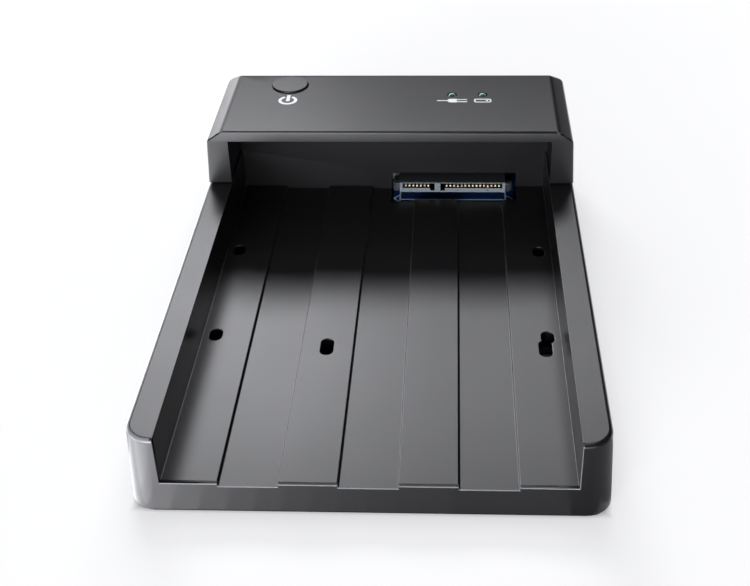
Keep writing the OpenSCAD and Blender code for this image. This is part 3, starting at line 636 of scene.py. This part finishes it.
class DOCK_OT_tray(bpy.types.Operator):
    """Tray and bottom cover with rounded edges"""

    bl_idname = "dock.tray"
    bl_label = "Tray"

    def execute(self, context):
        edges = edge_sizes()
        front = CAD_LOW.y

        def on_riser(edge):
            """True at the small riser behind the front edge of a raised strip."""
            return all(front + 0.5 * MM < v.co.y < front + 1.5 * MM for v in edge.verts)

        def at_wall(edge):
            """True in the long corners between the bay's walls and its floor."""
            faces = edge.link_faces
            upright = any(abs(f.normal.x) > FACING for f in faces)
            level = any(f.normal.z > FACING for f in faces)
            return upright and level and edge.calc_length() > LONG

        def at_step(edge):
            """True along the right side of a raised strip."""
            faces = edge.link_faces
            aside = any(f.normal.x > FACING for f in faces)
            level = any(f.normal.z > FACING for f in faces)
            inside = max(abs(v.co.x) for v in edge.verts) < CAD_HIGH.x - 12 * MM
            return aside and level and inside and edge.calc_length() > LONG

        rules = [(edges.riser, SHARP, on_riser), (edges.step, SHARP, at_step),
                 (edges.step, -SHARP, at_step), (edges.fillet, -SHARP, at_wall),
                 (edges.shell, SHARP, every)]
        mesh = finished(welded("base_tray"), "tray", rules, edges.steps)
        piece = new_piece("tray_shell", mesh, shell_finish(), DOCK, ["base_tray"])
        self.paint_edge_highlights(piece.data, front)
        mesh = softened("bottom_cover", edges.shell)
        new_piece("cover_shell", mesh, shell_finish(), DOCK, ["bottom_cover"])
        return {"FINISHED"}

    def paint_edge_highlights(self, mesh, front):
        """Painted highlights: paler colour on the small roundings of the bay, standing in for the light
        they catch.
        """
        mesh.materials.append(edge_highlight_finish())
        lean = 0.2
        wall_w = 7 * MM
        floor_z, strip_z, rim_z = 9 * MM, 12 * MM, 15 * MM
        bay_side, rim_side = 50 * MM, 52 * MM
        for face in mesh.polygons:
            across, along, up = face.normal
            x, y, z = face.center
            in_bay = abs(x) < CAD_HIGH.x - wall_w and z > floor_z
            low = in_bay and z < strip_z and up > lean
            ahead = low and along < -lean and y < front + 0.3 * MM
            at_left = low and across > lean and x < -bay_side
            to_left = in_bay and across < -lean and up > lean
            upright = in_bay and x > bay_side and along < -lean and across < -lean
            rim = x < -rim_side and z > rim_z and up > lean and min(across, along) < -lean
            # Faces of these roundings take the painted highlight colour
            face.material_index = 1 if ahead or at_left or to_left or upright or rim else 0


class DOCK_OT_head(bpy.types.Operator):
    """Head with soft slopes along its sides and rear, and its other edges rounded"""

    bl_idname = "dock.head"
    bl_label = "Head"

    def execute(self, context):
        edges = edge_sizes()
        slope_low = ROOF - 4 * MM

        def on_slope(edge):
            """True on the edges of the slopes."""
            above = all(v.co.z > slope_low for v in edge.verts)
            return above and any(0.3 < f.normal.z < 0.95 for f in edge.link_faces)

        def at_front(edge):
            """True at the front ends of the slopes."""
            return on_slope(edge) and any(f.normal.y < -FACING for f in edge.link_faces)

        def on_brow(edge):
            """True at the roof's front edge."""
            ahead = any(f.normal.y < -FACING for f in edge.link_faces)
            return ahead and self.on_roof(edge)

        rules = [(edges.brow, SHARP, on_brow), (edges.slope_end, SHARP, at_front),
                 (edges.slope, 20, on_slope), (edges.shell, SHARP, every)]
        bm = welded("head_cover")
        self.lean(bm, edges)
        self.plain_roof(bm)
        mesh = finished(bm, "head", rules, edges.steps, self.refilled)
        new_piece("head_shell", mesh, shell_finish(), DOCK, ["head_cover"])
        return {"FINISHED"}

    def on_roof(self, item):
        """True for a face or an edge in the plane of the roof."""
        return all(v.co.z > ROOF - NEAR for v in item.verts)

    def lean(self, bm, edges):
        """Leans the strip between the recess and the roof back a little."""
        foot = ROOF - edges.brow_h
        front = [f for f in bm.faces if f.normal.y < -0.99 and max(v.co.z for v in f.verts) > foot]
        around = {item for f in front for item in (f, *f.edges, *f.verts)}
        bmesh.ops.bisect_plane(bm, geom=list(around), dist=0.001 * MM, plane_co=(0, 0, foot),
                               plane_no=(0, 0, 1))
        strip = [f for f in bm.faces if f.normal.y < -0.99 and f.calc_center_median().z > foot]
        for point in {v for f in strip for v in f.verts}:
            point.co.y += max(0, point.co.z - foot) * math.tan(edges.brow_tilt)

    def plain_roof(self, bm):
        """Closes the roof over its holes, so that its edges round evenly."""
        roof = {f for f in bm.faces if f.normal.z > 0.999 and self.on_roof(f)}
        border = [e for e in bm.edges if sum(f in roof for f in e.link_faces) == 1]
        outer = max(self.loops(border), key=lambda loop: max(v.co.x for e in loop for v in e.verts))
        bmesh.ops.delete(bm, geom=list(roof), context="FACES_KEEP_BOUNDARY")
        made = bmesh.ops.edgeloop_fill(bm, edges=outer)["faces"]
        face_up(made)

    def refilled(self, mesh):
        """Fills the roof anew between its rim and its holes."""
        bm = bmesh.new()
        bm.from_mesh(mesh)
        bpy.data.meshes.remove(mesh)
        top = [f for f in bm.faces if f.normal.z > 0.99 and f.calc_center_median().z > ROOF - NEAR]
        roof = max(top, key=lambda f: f.calc_area())
        rims = [e for e in bm.edges if len(e.link_faces) == 1 and self.on_roof(e)]
        for edge in rims:
            edge.smooth = False
        rims += list(roof.edges)
        bmesh.ops.delete(bm, geom=[roof], context="FACES_KEEP_BOUNDARY")
        made = bmesh.ops.triangle_fill(bm, use_beauty=True, edges=rims, normal=(0, 0, 1))["geom"]
        face_up(item for item in made if isinstance(item, bmesh.types.BMFace))
        return mesh_from(bm, "head_filled")

    def loops(self, edges):
        """Parts a set of edges into closed loops."""
        left = set(edges)
        found = []
        while left:
            loop = [left.pop()]
            for edge in loop:
                near = {e for v in edge.verts for e in v.link_edges if e in left}
                left -= near
                loop += near
            found.append(loop)
        return found


class DOCK_OT_button(bpy.types.Operator):
    """Round power button with a soft rim"""

    bl_idname = "dock.button"
    bl_label = "Power button"

    def execute(self, context):
        edges = edge_sizes()
        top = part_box("power_button")[1].z

        def on_rim(edge):
            """True at the rim of the cap."""
            return all(v.co.z > top - NEAR for v in edge.verts)

        rules = [(edges.button, SHARP, on_rim), (edges.resin, SHARP, every)]
        mesh = finished(welded("power_button"), "button", rules, 4)
        look = finishes()
        material = surface("satin_button", look.button, look.rough, 0.02, grain=look.grain,
                           depth=look.grain_depth, shine=look.button_shine)
        new_piece("power_button_cap", mesh, material, BUTTON, ["power_button"])
        return {"FINISHED"}


class DOCK_OT_lamps(bpy.types.Operator):
    """Two domed lamps in the roof"""

    bl_idname = "dock.lamps"
    bl_label = "Lamps"

    def execute(self, context):
        flange_t = 1 * MM
        lip = 0.7 * MM
        toward_camera = Vector((0.1, -0.88, 0.46)).normalized()
        reflection_from, reflection_w = 0.22, 0.28
        for node in ("power_lamp", "drive_lamp"):
            low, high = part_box(node)
            middle = (low + high) / 2
            radius = (high.x - low.x) / 2 - lip
            dome = arc((0, high.z - radius), radius, 0, 90, 10)
            flange_z = low.z + flange_t
            wide = radius + lip
            profile = [(0, low.z), (wide, low.z), (wide, flange_z), (radius, flange_z)]
            profile += [(p.x if p.x > 1e-6 else 0, p.y) for p in dome]
            mesh = mesh_from(lathed(profile, middle, 40), node)
            mesh.set_sharp_from_angle(angle=math.radians(50))
            # Painted reflection: the lens turns paler where its normal turns away from the camera's
            # direction
            rim = mesh.attributes.new("rim", "FLOAT", "POINT")
            for point, value in zip(mesh.vertices, rim.data):
                turned = 1 - point.normal.dot(toward_camera)
                value.value = min(1, max(0, (turned - reflection_from) / reflection_w))
            new_piece(node + "_lens", mesh, lamp_finish(), DOCK, [node])
        paint(plating("tin"), "lamp_leads")
        return {"FINISHED"}


class DOCK_OT_marks(bpy.types.Operator):
    """Printed marks: standby, plug and disk on the roof, and the connector's place on the board"""

    bl_idname = "dock.marks"
    bl_label = "Printed marks"

    def execute(self, context):
        marks = context.scene.dock_marks
        self.standby(marks)
        self.plug(marks)
        self.disk(marks)
        self.board(marks)
        return {"FINISHED"}

    def standby(self, marks):
        """Ring with a gap and a bar in it, in front of the button."""
        low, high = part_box("power_button")
        flange = 1.2 * MM
        rim = low.y + flange
        x = (low.x + high.x) / 2 + 0.4 * MM
        radius = marks.symbol_d / 2 - marks.symbol_stroke / 2
        y = rim - marks.symbol_gap - 3.9 * MM
        bm = bmesh.new()
        add_line(bm, arc((x, y), radius, 117, 423, 49), marks.symbol_stroke, ROOF, marks.ink)
        bar = [(x, y - 0.6 * MM), (x, rim - marks.symbol_gap)]
        add_line(bm, bar, marks.symbol_bar, ROOF, marks.ink)
        new_piece("standby_mark", printed(bm, "standby"), roof_ink(), DOCK)

    def lamp_place(self, node, marks):
        """Middle of the mark in front of a lamp."""
        low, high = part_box(node)
        return (low.x + high.x) / 2, (low.y + high.y) / 2 - marks.lamp_drop

    def plug(self, marks):
        """Plug with its cord at the left and two pins at the right."""
        x, y = self.lamp_place("power_lamp", marks)
        half_w = marks.plug_w / 2
        half_h = marks.mark_h / 2
        body_left = x - 1.6 * MM
        body_right = x + 1.6 * MM
        bm = bmesh.new()
        add_line(bm, [(x - half_w, y), (body_left + 0.3 * MM, y)], marks.mark_stroke, ROOF, marks.ink)
        back = [(p.x, p.y) for p in arc((body_left + half_h, y), half_h, 90, 270, 17)]
        add_plate(bm, [(body_right, y + half_h), *back, (body_right, y - half_h)], ROOF, marks.ink)
        for side in (-1, 1):
            pin_y = y + side * half_h * 0.62
            pin = [(body_right - 0.1 * MM, pin_y), (x + half_w, pin_y)]
            add_line(bm, pin, marks.mark_stroke, ROOF, marks.ink)
        new_piece("plug_mark", printed(bm, "plug"), roof_ink(), DOCK)

    def disk(self, marks):
        """Case of a drive with a dot for its lamp."""
        x, y = self.lamp_place("drive_lamp", marks)
        stroke = marks.mark_stroke
        half_w = (marks.disk_w - stroke) / 2
        half_h = (marks.mark_h - stroke) / 2
        corner = 0.45 * MM
        case = []
        for sx, sy, start in ((1, 1, 0), (-1, 1, 90), (-1, -1, 180), (1, -1, 270)):
            centre = (x + sx * (half_w - corner), y + sy * (half_h - corner))
            case += arc(centre, corner, start, start + 90, 6)
        bm = bmesh.new()
        add_line(bm, case, stroke, ROOF, marks.ink, closed=True)
        add_plate(bm, arc((x + half_w * 0.55, y), 0.42 * MM, 0, 337, 16), ROOF, marks.ink)
        new_piece("disk_mark", printed(bm, "disk"), roof_ink(), DOCK)

    def board(self, marks):
        """Outline of the connector's place, with an arrow at its first end and a tick at its last."""
        low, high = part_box("sata_hood")
        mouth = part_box("sata_insulator")[0].y
        front = mouth - 1.5 * MM
        back = mouth + 3.5 * MM
        left = low.x + 0.1 * MM
        right = high.x + 0.1 * MM
        middle = (left + right) / 2
        bm = bmesh.new()

        def line(*points):
            add_line(bm, points, marks.screen, BOARD_TOP, marks.ink)

        line((left, back), (left, front - 1.2 * MM))
        line((left, front), (middle - 0.2 * MM, front))
        line((middle + 0.2 * MM, front), (right, front), (right, back))
        line((left, mouth + 1.6 * MM), (left - 2 * MM, front + 0.8 * MM),
             (left - 0.8 * MM, front - 1.2 * MM), (left, front - 1.2 * MM))
        line((right, mouth + 1.4 * MM), (right + 2 * MM, front + 1.1 * MM),
             (right + 2.4 * MM, front + 0.2 * MM))
        ink = ink_finish("board_ink", finishes().board_ink)
        new_piece("board_printing", printed(bm, "printing"), ink, DOCK)


class DOCK_OT_connector(bpy.types.Operator):
    """Drive connector: grey core, dark hood and two rows of gold contacts"""

    bl_idname = "dock.connector"
    bl_label = "Drive connector"

    def execute(self, context):
        edges = edge_sizes()
        look = finishes()
        core = surface("core_resin", look.core, 0.5, mottle=0.35, mottle_size=1.1 * MM, depth=0.006 * MM)
        hood = surface("hood_resin", look.hood, 0.45, mottle=0.3, mottle_size=1.4 * MM, depth=0.006 * MM)
        mesh = self.core_mesh(edges)
        piece = new_piece("connector_core", mesh, core, DOCK, ["sata_insulator"])
        self.shade_core(piece.data, look)
        mesh = softened("sata_hood", edges.resin)
        new_piece("connector_hood", mesh, hood, DOCK, ["sata_hood"])
        long_shift = (0, -0.35 * MM, 0)
        self.row("sata_signal_contacts", 7, (0, 0, 0), edges)
        self.row("sata_power_contacts", 15, long_shift, edges)
        paint(plating("tin"), "sata_board_locks")
        return {"FINISHED"}

    def shade_core(self, mesh, look):
        """Painted shade: dark colour inside the core and behind its front; dark grey guide posts."""
        mesh.materials.append(surface("slot_painted_shade", look.slot, 0.5, mottle=0.2, mottle_size=1 * MM))
        mesh.materials.append(surface("post_resin", look.post, 0.3, mottle=0.9, mottle_size=0.9 * MM))
        low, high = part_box("sata_hood")
        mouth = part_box("sata_insulator")[0].y
        for face in mesh.polygons:
            # Faces more than 0.2 mm behind the front, and the posts' deep faces, take the painted shade
            inward = face.center.y - mouth
            if low.x < face.center.x < high.x:
                face.material_index = 1 if inward > 0.2 * MM else 0
            else:
                face.material_index = 1 if inward > 4 * MM else 2

    def core_mesh(self, edges):
        """Core with a small notch under the two long contacts."""
        low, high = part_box("sata_power_contacts")
        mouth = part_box("sata_insulator")[0].y
        notch_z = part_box("sata_hood")[0].z - 2.8 * MM
        pitch = (high.x - low.x - 0.7 * MM) / 14
        cutters = bmesh.new()
        for index in (3, 11):
            x = low.x + 0.35 * MM + index * pitch
            notch = bmesh.ops.create_cube(cutters, size=1)
            bmesh.ops.scale(cutters, verts=notch["verts"], vec=(0.5 * MM, 1.0 * MM, 0.4 * MM))
            bmesh.ops.translate(cutters, verts=notch["verts"], vec=(x, mouth, notch_z))
        cutter = linked("notches", mesh_from(cutters, "notches"))
        holder = linked("core", mesh_from(welded("sata_insulator"), "core_rough"))
        cut = holder.modifiers.new("notches", "BOOLEAN")
        cut.object = cutter
        cut.solver = "EXACT"
        mesh = applied(holder, "core_cut")
        notches = cutter.data
        bpy.data.objects.remove(cutter)
        bpy.data.meshes.remove(notches)
        bm = bmesh.new()
        bm.from_mesh(mesh)
        bpy.data.meshes.remove(mesh)
        return finished(bm, "core", [(edges.resin, SHARP, every)], 2)

    def row(self, node, count, shift, edges):
        """Row of bent contacts that replaces a CAD node."""
        low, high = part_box(node)
        width = 0.6 * MM
        thick = 0.55 * MM
        foot = 1.2 * MM
        step = (high.x - low.x - width) / (count - 1)
        tail = high.y - foot
        bend = [(low.y, high.z - thick), (tail - thick, high.z - thick), (tail - thick, low.z),
                (high.y, low.z), (high.y, low.z + thick), (tail, low.z + thick), (tail, high.z),
                (low.y, high.z)]
        blade = finished(extruded(bend, low.x, low.x + width), node, [(edges.metal, SHARP, every)], 2)
        values = {"Count": count, "Step": (step, 0, 0), "Shift": shift, "Material": plating("gold")}
        mesh = repeated(blade, node, row_tree(), values)
        new_piece(node + "_row", mesh, plating("gold"), DOCK, [node])


class DOCK_OT_boards(bpy.types.Operator):
    """Main board, indicator board and what is soldered on them"""

    bl_idname = "dock.boards"
    bl_label = "Boards"

    def execute(self, context):
        edges = edge_sizes()
        for node in ("main_board", "indicator_board"):
            mesh = softened(node, edges.resin)
            new_piece(node + "_panel", mesh, mask_finish(), DOCK, [node])
        looks = (("chip_resin", (0.012, 0.012, 0.013), 0.5, 0.08, 2, "bridge_chip", "flash_chip",
                  "regulator"),
                 ("ferrite_body", (0.035, 0.035, 0.037), 0.7, 0.2, 1, "power_inductor"),
                 ("sleeve_film", (0.016, 0.028, 0.075), 0.3, 0.08, 3, "electrolytic_caps"),
                 ("ceramic_body", (0.45, 0.32, 0.17), 0.55, 0.15, 0.6, "ceramic_caps"),
                 ("header_nylon", (0.72, 0.70, 0.64), 0.5, 0.08, 2, "main_header", "indicator_header",
                  "switch_plunger"),
                 ("wire_jacket", (0.55, 0.53, 0.48), 0.45, 0.08, 2, "harness_wires"))
        for name, base, rough, mottle, size, *nodes in looks:
            paint(surface(name, base, rough, mottle=mottle, mottle_size=size * MM), *nodes)
        paint(port_finish(), "switch_body")
        paint(plating("tin"), "crystal", "switch_pins")
        return {"FINISHED"}


class DOCK_OT_sockets(bpy.types.Operator):
    """Power socket and data socket in the rear wall"""

    bl_idname = "dock.sockets"
    bl_label = "Rear sockets"

    def execute(self, context):
        edges = edge_sizes()
        shells = (("dc_jack_housing", port_finish(), "port_core"), ("dc_jack_pin", plating("tin"), "tin"),
                  ("usb_shell", plating("tin"), "tin"), ("usb_insulator", port_finish(), "port_core"))
        for node, material, slot in shells:
            new_piece(node + "_part", softened(node, edges.resin), material, DOCK, [node])
        paint(plating("tin"), "dc_jack_lugs")
        paint(plating("gold"), "usb_contacts")
        return {"FINISHED"}


class DOCK_OT_fasteners(bpy.types.Operator):
    """Screws and rubber feet"""

    bl_idname = "dock.fasteners"
    bl_label = "Screws and feet"

    def execute(self, context):
        self.feet()
        paint(plating("zinc"), "cover_screws", "head_screws", "board_screws", "indicator_screws")
        return {"FINISHED"}

    def feet(self):
        """Four rubber feet with soft rims."""
        edges = edge_sizes()
        low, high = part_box("rubber_feet")
        radius = 6 * MM
        soft = edges.foot
        turns = [i * math.pi / 12 for i in range(7)]
        rim = [(radius - soft + soft * math.sin(t), low.z + soft - soft * math.cos(t)) for t in turns]
        profile = [(0, low.z), *rim, (radius, high.z), (0, high.z)]
        foot = mesh_from(lathed(profile, (low + high) / 2, 48), "foot")
        foot.set_sharp_from_angle(angle=math.radians(50))
        material = surface("foot_rubber", finishes().rubber, 0.75, mottle=0.15, mottle_size=2 * MM,
                           depth=0.01 * MM)
        values = {"Columns": 2, "Rows": 2, "Width": high.x - low.x - 2 * radius,
                  "Depth": high.y - low.y - 2 * radius, "Material": material}
        mesh = repeated(foot, "feet", grid_tree(), values)
        new_piece("feet", mesh, material, DOCK, ["rubber_feet"])


class DOCK_OT_stage(bpy.types.Operator):
    """Camera, lamps, floor and world"""

    bl_idname = "dock.stage"
    bl_label = "Stage"

    def execute(self, context):
        stage = context.scene.dock_stage
        context.scene.view_settings.view_transform = "Standard"
        self.camera(context.scene, stage)
        self.floor(stage)
        self.flag()
        boxes = (("rear_softbox", (-18, 38.5), (24, 17), stage.rear),
                 ("rear_side_softbox", (7, 40.5), (26, 15), stage.rear_side),
                 ("rear_low_strip", (-33, 7), (30, 10), stage.rear_low),
                 ("top_softbox", (0, 84), (145, 56), stage.top),
                 ("front_strip", (-162, 8), (36, 14), stage.front),
                 ("front_side_strip", (162, 6), (36, 10), stage.front_side))
        for box in boxes:
            self.softbox(*box)
        self.cards(stage)
        self.world(context.scene, stage)
        return {"FINISHED"}

    def cards(self, stage):
        """Cards round the dock: left front corner, right rear corner and brightness."""
        left, front, rear = -0.40, -0.36, 0.12
        side, edge = 0.062, DOCK_EDGE
        fade_x, strip_w, strips = -0.064, 0.007, 12
        bright = stage.front_card
        self.card("left_card", (left, -0.045), (-side, rear), stage.left_card)
        self.card("right_card", (side, -0.06), (0.20, rear), stage.right_card)
        self.card("corner_card", (left, edge), (-0.054, -0.068), bright * 0.45)
        self.card("side_card", (left, -0.068), (-side, -0.045), bright * 0.12)
        self.card("front_card", (-0.32, front), (fade_x, edge), bright)
        for step in range(strips):
            x = fade_x + strip_w * step
            part = 0.04 + 0.84 * math.exp(-0.34 * (step + 0.5))
            self.card("front_fade", (x, front), (x + strip_w, edge), bright * part)
        self.card("front_low", (0.02, front), (0.05, edge), bright * 0.04)
        self.card("far_card", (-0.30, -0.75), (0.14, -0.14), stage.far_card)

    def camera(self, scene, stage):
        """Camera at the photograph's view."""
        data = bpy.data.cameras.new("view")
        data.sensor_width = SENSOR
        data.lens = SENSOR * stage.focal_px / IMAGE_W
        data.shift_x = (IMAGE_W / 2 - stage.centre_px[0]) / IMAGE_W
        data.shift_y = (stage.centre_px[1] - IMAGE_H / 2) / IMAGE_W
        data.clip_start = 0.01
        data.clip_end = 50
        level = math.cos(stage.pitch)
        ahead = Vector((math.sin(stage.yaw) * level, math.cos(stage.yaw) * level, -math.sin(stage.pitch)))
        aside = Vector((math.cos(stage.yaw), -math.sin(stage.yaw), 0))
        above = aside.cross(ahead)
        right = math.cos(stage.roll) * aside + math.sin(stage.roll) * above
        up = -math.sin(stage.roll) * aside + math.cos(stage.roll) * above
        camera = linked("view", data)
        turn = Matrix((right, up, -ahead)).transposed().to_4x4()
        camera.matrix_world = Matrix.Translation(stage.eye) @ turn
        scene.camera = camera

    def lamp(self, name, size, brightness, place, turn):
        """Rectangular lamp that only the object and the floor see."""
        data = bpy.data.lights.new(name, "AREA")
        data.shape = "RECTANGLE"
        data.size, data.size_y = size
        data.energy = math.pi * data.size * data.size_y * brightness
        data.color = bpy.context.scene.dock_stage.tint
        lamp = linked(name, data)
        lamp.matrix_world = Matrix.Translation(place) @ turn
        lamp.visible_camera = False

    def softbox(self, name, place, spread, brightness, distance=1.5):
        """Lamp that faces the dock. Place is its turn to the right from straight behind, and its height.

        Both, and its spread, are in degrees.
        """
        around, height = (math.radians(angle) for angle in place)
        level = math.cos(height)
        way = Vector((math.sin(around) * level, math.cos(around) * level, math.sin(height)))
        wide, tall = (2 * distance * math.tan(math.radians(angle) / 2) for angle in spread)
        turn = (-way).to_track_quat("-Z", "Y").to_matrix().to_4x4()
        self.lamp(name, (wide * level, tall), brightness, way * distance, turn)

    def card(self, name, low, high, brightness):
        """Bright card that lies on the table beside the dock and faces up."""
        middle = (Vector(low) + Vector(high)) / 2
        size = (high[0] - low[0], high[1] - low[1])
        self.lamp(name, size, brightness, (*middle, 1 * MM), Matrix.Rotation(math.pi, 4, "X"))

    def floor(self, stage):
        """White floor that keeps the shadow, with painted shade under the dock."""
        bm = bmesh.new()
        bmesh.ops.create_grid(bm, x_segments=1, y_segments=1, size=6.0)
        mesh = mesh_from(bm, "floor")
        material = bpy.data.materials.new("floor_white")
        tree = cleared(material)
        path = add_node(tree, "ShaderNodeLightPath").outputs
        seen = add_math(tree, "MAXIMUM", path["Is Camera Ray"], path["Is Glossy Ray"])
        seen = add_math(tree, "MAXIMUM", seen, path["Is Transmission Ray"])
        plain = add_node(tree, "ShaderNodeBsdfDiffuse", {"Color": (0.5, 0.5, 0.5, 1)})
        lit = add_node(tree, "ShaderNodeBsdfDiffuse", {"Color": (stage.floor, stage.floor, stage.floor, 1)})
        glow = add_node(tree, "ShaderNodeEmission", {"Strength": self.glow_shaded_under_dock(tree, stage.glow)})
        both = add_node(tree, "ShaderNodeAddShader", {0: lit.outputs[0], 1: glow.outputs[0]})
        self.mix(tree, "ShaderNodeOutputMaterial", seen, plain, both)
        mesh.materials.append(material)
        linked("floor", mesh)

    def mix(self, tree, kind, factor, plain, seen):
        """Ends a tree with a mix of two shaders."""
        ends = {0: factor, 1: plain.outputs[0], 2: seen.outputs[0]}
        mixed = add_node(tree, "ShaderNodeMixShader", ends)
        add_node(tree, kind, {"Surface": mixed.outputs[0]})

    def flag(self):
        """Grey card on the table in front and at both sides, which only reflections show."""
        bm = bmesh.new()
        front = (-0.40, -0.40, 0.30, DOCK_EDGE)
        sides = (-0.40, DOCK_EDGE, -0.0615, 0.12), (0.0615, DOCK_EDGE, 0.30, 0.12)
        for left, near, right, far in (front, *sides):
            corners = ((left, near), (right, near), (right, far), (left, far))
            bm.faces.new([bm.verts.new((x, y, 0.5 * MM)) for x, y in corners])
        mesh = mesh_from(bm, "flag")
        mesh.materials.append(surface("grey_card", (0.5, 0.5, 0.5), 0.9, 0.05, shine=0.0))
        piece = linked("flag", mesh)
        piece.visible_camera = False
        piece.visible_shadow = False
        piece.visible_diffuse = False

    def glow_shaded_under_dock(self, tree, value):
        """Glow strength that falls to nothing under the dock: painted shade that fades in over 4 mm inside
        its edges.
        """
        axes = object_axes(tree)
        fades = []
        for axis, half in (("X", CAD_HIGH.x), ("Y", CAD_HIGH.y)):
            ends = {"Value": add_math(tree, "ABSOLUTE", axes[axis]), "From Min": half - 4 * MM,
                    "From Max": half, "To Max": value}
            fades.append(add_node(tree, "ShaderNodeMapRange", ends).outputs["Result"])
        return add_math(tree, "MAXIMUM", *fades)

    def world(self, scene, stage):
        """Even light all round, white where the camera sees it."""
        world = bpy.data.worlds.new("studio")
        tree = cleared(world)
        path = add_node(tree, "ShaderNodeLightPath").outputs
        even = add_node(tree, "ShaderNodeBackground", {"Strength": stage.world})
        white = add_node(tree, "ShaderNodeBackground")
        self.mix(tree, "ShaderNodeOutputWorld", path["Is Camera Ray"], even, white)
        scene.world = world


class DOCK_PT_panel(bpy.types.Panel):
    """Lists the dock's pieces"""

    bl_label = "Drive Dock"
    bl_idname = "DOCK_PT_panel"
    bl_space_type = "VIEW_3D"
    bl_region_type = "UI"
    bl_category = "Dock"

    def draw(self, context):
        for operator in OPERATORS:
            self.layout.operator(operator.bl_idname)


GROUPS = {"dock_edges": DockEdges, "dock_finish": DockFinish, "dock_marks": DockMarks,
          "dock_stage": DockStage}
OPERATORS = (DOCK_OT_stage, DOCK_OT_tray, DOCK_OT_head, DOCK_OT_button, DOCK_OT_lamps, DOCK_OT_marks,
             DOCK_OT_connector, DOCK_OT_boards, DOCK_OT_sockets, DOCK_OT_fasteners)
CLASSES = (*GROUPS.values(), *OPERATORS, DOCK_PT_panel)


def register():
    for kind in CLASSES:
        bpy.utils.register_class(kind)
    for name, kind in GROUPS.items():
        setattr(bpy.types.Scene, name, PointerProperty(type=kind))


def unregister():
    for name in GROUPS:
        delattr(bpy.types.Scene, name)
    for kind in reversed(CLASSES):
        bpy.utils.unregister_class(kind)


def main():
    register()
    bpy.ops.dock.stage()
    bpy.ops.dock.tray()
    bpy.ops.dock.head()
    bpy.ops.dock.button()
    bpy.ops.dock.lamps()
    bpy.ops.dock.marks()
    bpy.ops.dock.connector()
    bpy.ops.dock.boards()
    bpy.ops.dock.sockets()
    bpy.ops.dock.fasteners()


if __name__ == "__main__":
    main()
